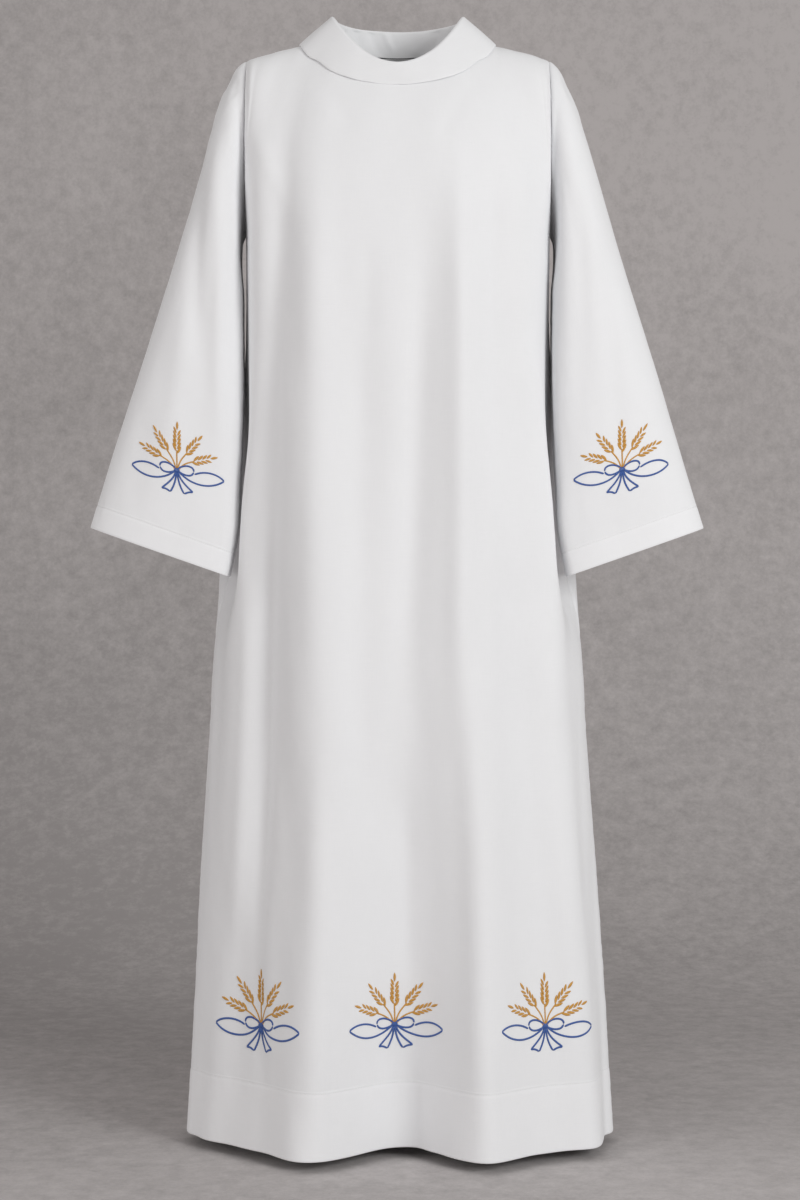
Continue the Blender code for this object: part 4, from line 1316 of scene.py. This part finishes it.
def make_sheets(context, pieces, net_of, closed, material, edge):
    """The cloth of these pieces, each with the stitches of its turned-up hem or cuff."""
    sizes, colours = context.scene.alb_sizes, context.scene.alb_colours
    depth = getattr(sizes, edge)
    for name, way in pieces.items():
        net = net_of(way, sizes)
        band = (net.height_at < depth).astype(float)
        obj = cloth_shell(f"{name}_cloth", net, closed, sizes.cloth, sizes.doubled, band, -1.0)
        hand_over(obj, material_of(material, robe_cloth, tuple(colours.cloth), depth))
        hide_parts(name)
        stitch_row(f"{name}_{edge}_stitches", net, depth, sizes, colours)
    return {"FINISHED"}


class ALB_OT_panels(bpy.types.Operator):
    """Make the front and the back"""

    bl_idname = "alb.panels"
    bl_label = "Front and back"

    def execute(self, context):
        return make_sheets(context, PANELS, panel_net, False, "panel_cloth", "hem")


class ALB_OT_sleeves(bpy.types.Operator):
    """Make both sleeves"""

    bl_idname = "alb.sleeves"
    bl_label = "Sleeves"

    def execute(self, context):
        return make_sheets(context, SLEEVES, sleeve_net, True, "sleeve_cloth", "cuff")


class ALB_OT_collar(bpy.types.Operator):
    """Make the turned-down collar"""

    bl_idname = "alb.collar"
    bl_label = "Collar"

    def execute(self, context):
        sizes, colours = context.scene.alb_sizes, context.scene.alb_colours
        net = collar_net(sizes)
        full = np.round(ease(net.height_at / COLLAR_EDGE_RUN), 2)
        thin = sizes.collar * COLLAR_EDGE_SHARE
        obj = cloth_shell("collar_cloth", net, True, thin, sizes.collar, full, 0.0)
        hand_over(obj, material_of("collar_cloth", robe_cloth, tuple(colours.cloth)))
        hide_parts("collar")
        return {"FINISHED"}


# A row for each motif: the piece it lies on, the x of its middle measured at the lower edge, the height of
# its middle above that edge, its turn in degrees and its size against the drawing.
MOTIF_COLUMNS = ("piece", "x", "height", "turn", "size")
MOTIFS = {
    "hem_motif_right": ("front", -0.187, 0.183, 2.0, 1.18),
    "hem_motif_middle": ("front", -0.003, 0.183, 0.0, 1.10),
    "hem_motif_left": ("front", 0.193, 0.183, -2.0, 1.12),
    "sleeve_motif_right": ("sleeve_right", -0.319, 0.128, 10.0, 1.00),
    "sleeve_motif_left": ("sleeve_left", 0.317, 0.128, -10.0, 1.03),
}


class ALB_OT_embroidery(bpy.types.Operator):
    """Embroider the hem and the sleeves"""

    bl_idname = "alb.embroidery"
    bl_label = "Embroidery"

    def execute(self, context):
        sizes, colours = context.scene.alb_sizes, context.scene.alb_colours
        nets = {"front": panel_net(-1, sizes)}
        nets.update((name, sleeve_net(hand, sizes)) for name, hand in SLEEVES.items())
        for name, row in MOTIFS.items():
            motif = dict(zip(MOTIF_COLUMNS, row))
            net = nets[motif["piece"]]
            x, y = net.points[-1, :, 0], net.points[-1, :, 1]
            column = int(np.argmin(np.abs(x - motif["x"]) + np.where(y < y.mean(), 0, 1)))
            embroider(name, net, column, motif, sizes, colours)
        return {"FINISHED"}


# ---------------- stage, lights and camera
FLOOR_Z = -1.463
STAGE_WIDTH = 14.0
STAGE_FRONT = -7.0
STAGE_BACK = 2.2
STAGE_HEIGHT = 5.0
STAGE_BEND = 1.2
LIGHTS_AIM = (0, 0, -0.7)
# A row for each light: its place, its size and its colour.
LIGHTS = {
    "key": ((2.6, -3.0, 0.4), 1.6, (0.985, 0.995, 0.99)),
    "fill": ((-3.2, -2.6, -0.1), 2.4, (1.0, 0.97, 0.955)),
}
SKY_COLOUR = (1, 0.975, 0.962, 1)
SENSOR_HEIGHT = 36


def backdrop(colour):
    """A sheet of studio paper that lies on the floor and bends up behind the robe."""
    bpy.ops.object.select_all(action="DESELECT")
    middle_y = (STAGE_FRONT + STAGE_BACK) / 2
    bpy.ops.mesh.primitive_plane_add(size=1, location=(0, middle_y, FLOOR_Z))
    obj = bpy.context.object
    obj.name = obj.data.name = "studio_backdrop"
    obj.scale = (STAGE_WIDTH, STAGE_BACK - STAGE_FRONT, 1)
    bpy.ops.object.transform_apply(location=True, rotation=False, scale=True)
    shaped = bmesh.new()
    shaped.from_mesh(obj.data)
    behind = [e for e in shaped.edges if all(v.co.y > STAGE_BACK - SMALL_STEP for v in e.verts)]
    raised = bmesh.ops.extrude_edge_only(shaped, edges=behind)["geom"]
    tops = [v for v in raised if isinstance(v, bmesh.types.BMVert)]
    bmesh.ops.translate(shaped, verts=tops, vec=(0, 0, STAGE_HEIGHT))
    low = [v for v in shaped.verts if v.co.y > STAGE_BACK - SMALL_STEP and v.co.z < FLOOR_Z + SMALL_STEP]
    corner = [e for e in shaped.edges if all(v in low for v in e.verts)]
    bmesh.ops.bevel(shaped, geom=corner, offset=STAGE_BEND, segments=24, profile=0.5, affect="EDGES")
    shaped.to_mesh(obj.data)
    shaped.free()
    obj.data.materials.append(studio_paper("studio_paper", tuple(colour)))
    obj.data.shade_smooth()


def area_light(name, place, size, colour, power):
    bpy.ops.object.light_add(type="AREA", location=place)
    light = bpy.context.object
    light.name = light.data.name = name
    light.data.shape = "DISK"
    light.data.size = size
    light.data.energy = power
    light.data.color = colour
    way = np.array(LIGHTS_AIM) - np.array(place)
    light.rotation_euler = (
        math.atan2(math.hypot(way[0], way[1]), -way[2]),
        0,
        math.atan2(way[1], way[0]) - math.pi / 2,
    )


class ALB_OT_stage(bpy.types.Operator):
    """Set the backdrop, the lights and the camera"""

    bl_idname = "alb.stage"
    bl_label = "Stage"

    def execute(self, context):
        studio = context.scene.alb_studio
        backdrop(context.scene.alb_colours.backdrop)
        for name, row in LIGHTS.items():
            area_light(f"{name}_light", *row, getattr(studio, name))
        world = bpy.data.worlds.new("room_light")
        world.use_nodes = True
        background = world.node_tree.nodes["Background"].inputs
        background["Color"].default_value = SKY_COLOUR
        background["Strength"].default_value = studio.sky
        context.scene.world = world
        context.scene.view_settings.view_transform = "Standard"
        bpy.ops.object.camera_add(
            location=(0, -studio.camera_distance, studio.camera_height), rotation=(math.pi / 2, 0, 0)
        )
        camera = context.object
        camera.name = camera.data.name = "camera"
        camera.data.lens = studio.lens
        camera.data.sensor_fit = "VERTICAL"
        camera.data.sensor_height = SENSOR_HEIGHT
        camera.data.dof.use_dof = False
        context.scene.camera = camera
        return {"FINISHED"}


OPERATORS = (ALB_OT_panels, ALB_OT_sleeves, ALB_OT_collar, ALB_OT_embroidery, ALB_OT_stage)


class ALB_PT_robe(bpy.types.Panel):
    bl_idname = "ALB_PT_robe"
    bl_label = "Alb Robe"
    bl_space_type = "VIEW_3D"
    bl_region_type = "UI"
    bl_category = "Alb Robe"

    def draw(self, context):
        scene = context.scene
        for group in (scene.alb_sizes, scene.alb_colours, scene.alb_studio):
            box = self.layout.box()
            for name in group.bl_rna.properties.keys():
                if name not in ("rna_type", "name"):
                    box.prop(group, name)
        for operator in OPERATORS:
            self.layout.operator(operator.bl_idname)


GROUPS = {"alb_sizes": AlbSizes, "alb_colours": AlbColours, "alb_studio": AlbStudio}


def register():
    for name, group in GROUPS.items():
        bpy.utils.register_class(group)
        setattr(bpy.types.Scene, name, bpy.props.PointerProperty(type=group))
    for cls in (*OPERATORS, ALB_PT_robe):
        bpy.utils.register_class(cls)


def unregister():
    for cls in (ALB_PT_robe, *reversed(OPERATORS)):
        bpy.utils.unregister_class(cls)
    for name, group in GROUPS.items():
        delattr(bpy.types.Scene, name)
        bpy.utils.unregister_class(group)


# ---------------- cut sizes of the sheets
# A row for each sheet: the cut's width and length as it shows, and its flat area.
SHEETS = {
    "front": (0.815, 1.50, 0.98),
    "back": (0.810, 1.50, 0.88),
    "sleeve_right": (0.540, 0.66, 0.237),
    "sleeve_left": (0.540, 0.66, 0.237),
    "collar": (0.730, 0.097, 0.049),
}


def declare_sheets():
    for name, (width, length, area) in SHEETS.items():
        stitches = (f"{name}_hem_stitches", f"{name}_cuff_stitches")
        on_it = [bpy.data.objects[row] for row in stitches if row in bpy.data.objects]
        for motif, row in MOTIFS.items():
            if row[0] == name:
                on_it += [bpy.data.objects[f"{motif}_{thread}"] for thread in ("gold", "blue")]


def main():
    register()
    bpy.ops.alb.panels()
    bpy.ops.alb.sleeves()
    bpy.ops.alb.collar()
    bpy.ops.alb.embroidery()
    bpy.ops.alb.stage()
    declare_sheets()


if __name__ == "__main__":
    main()
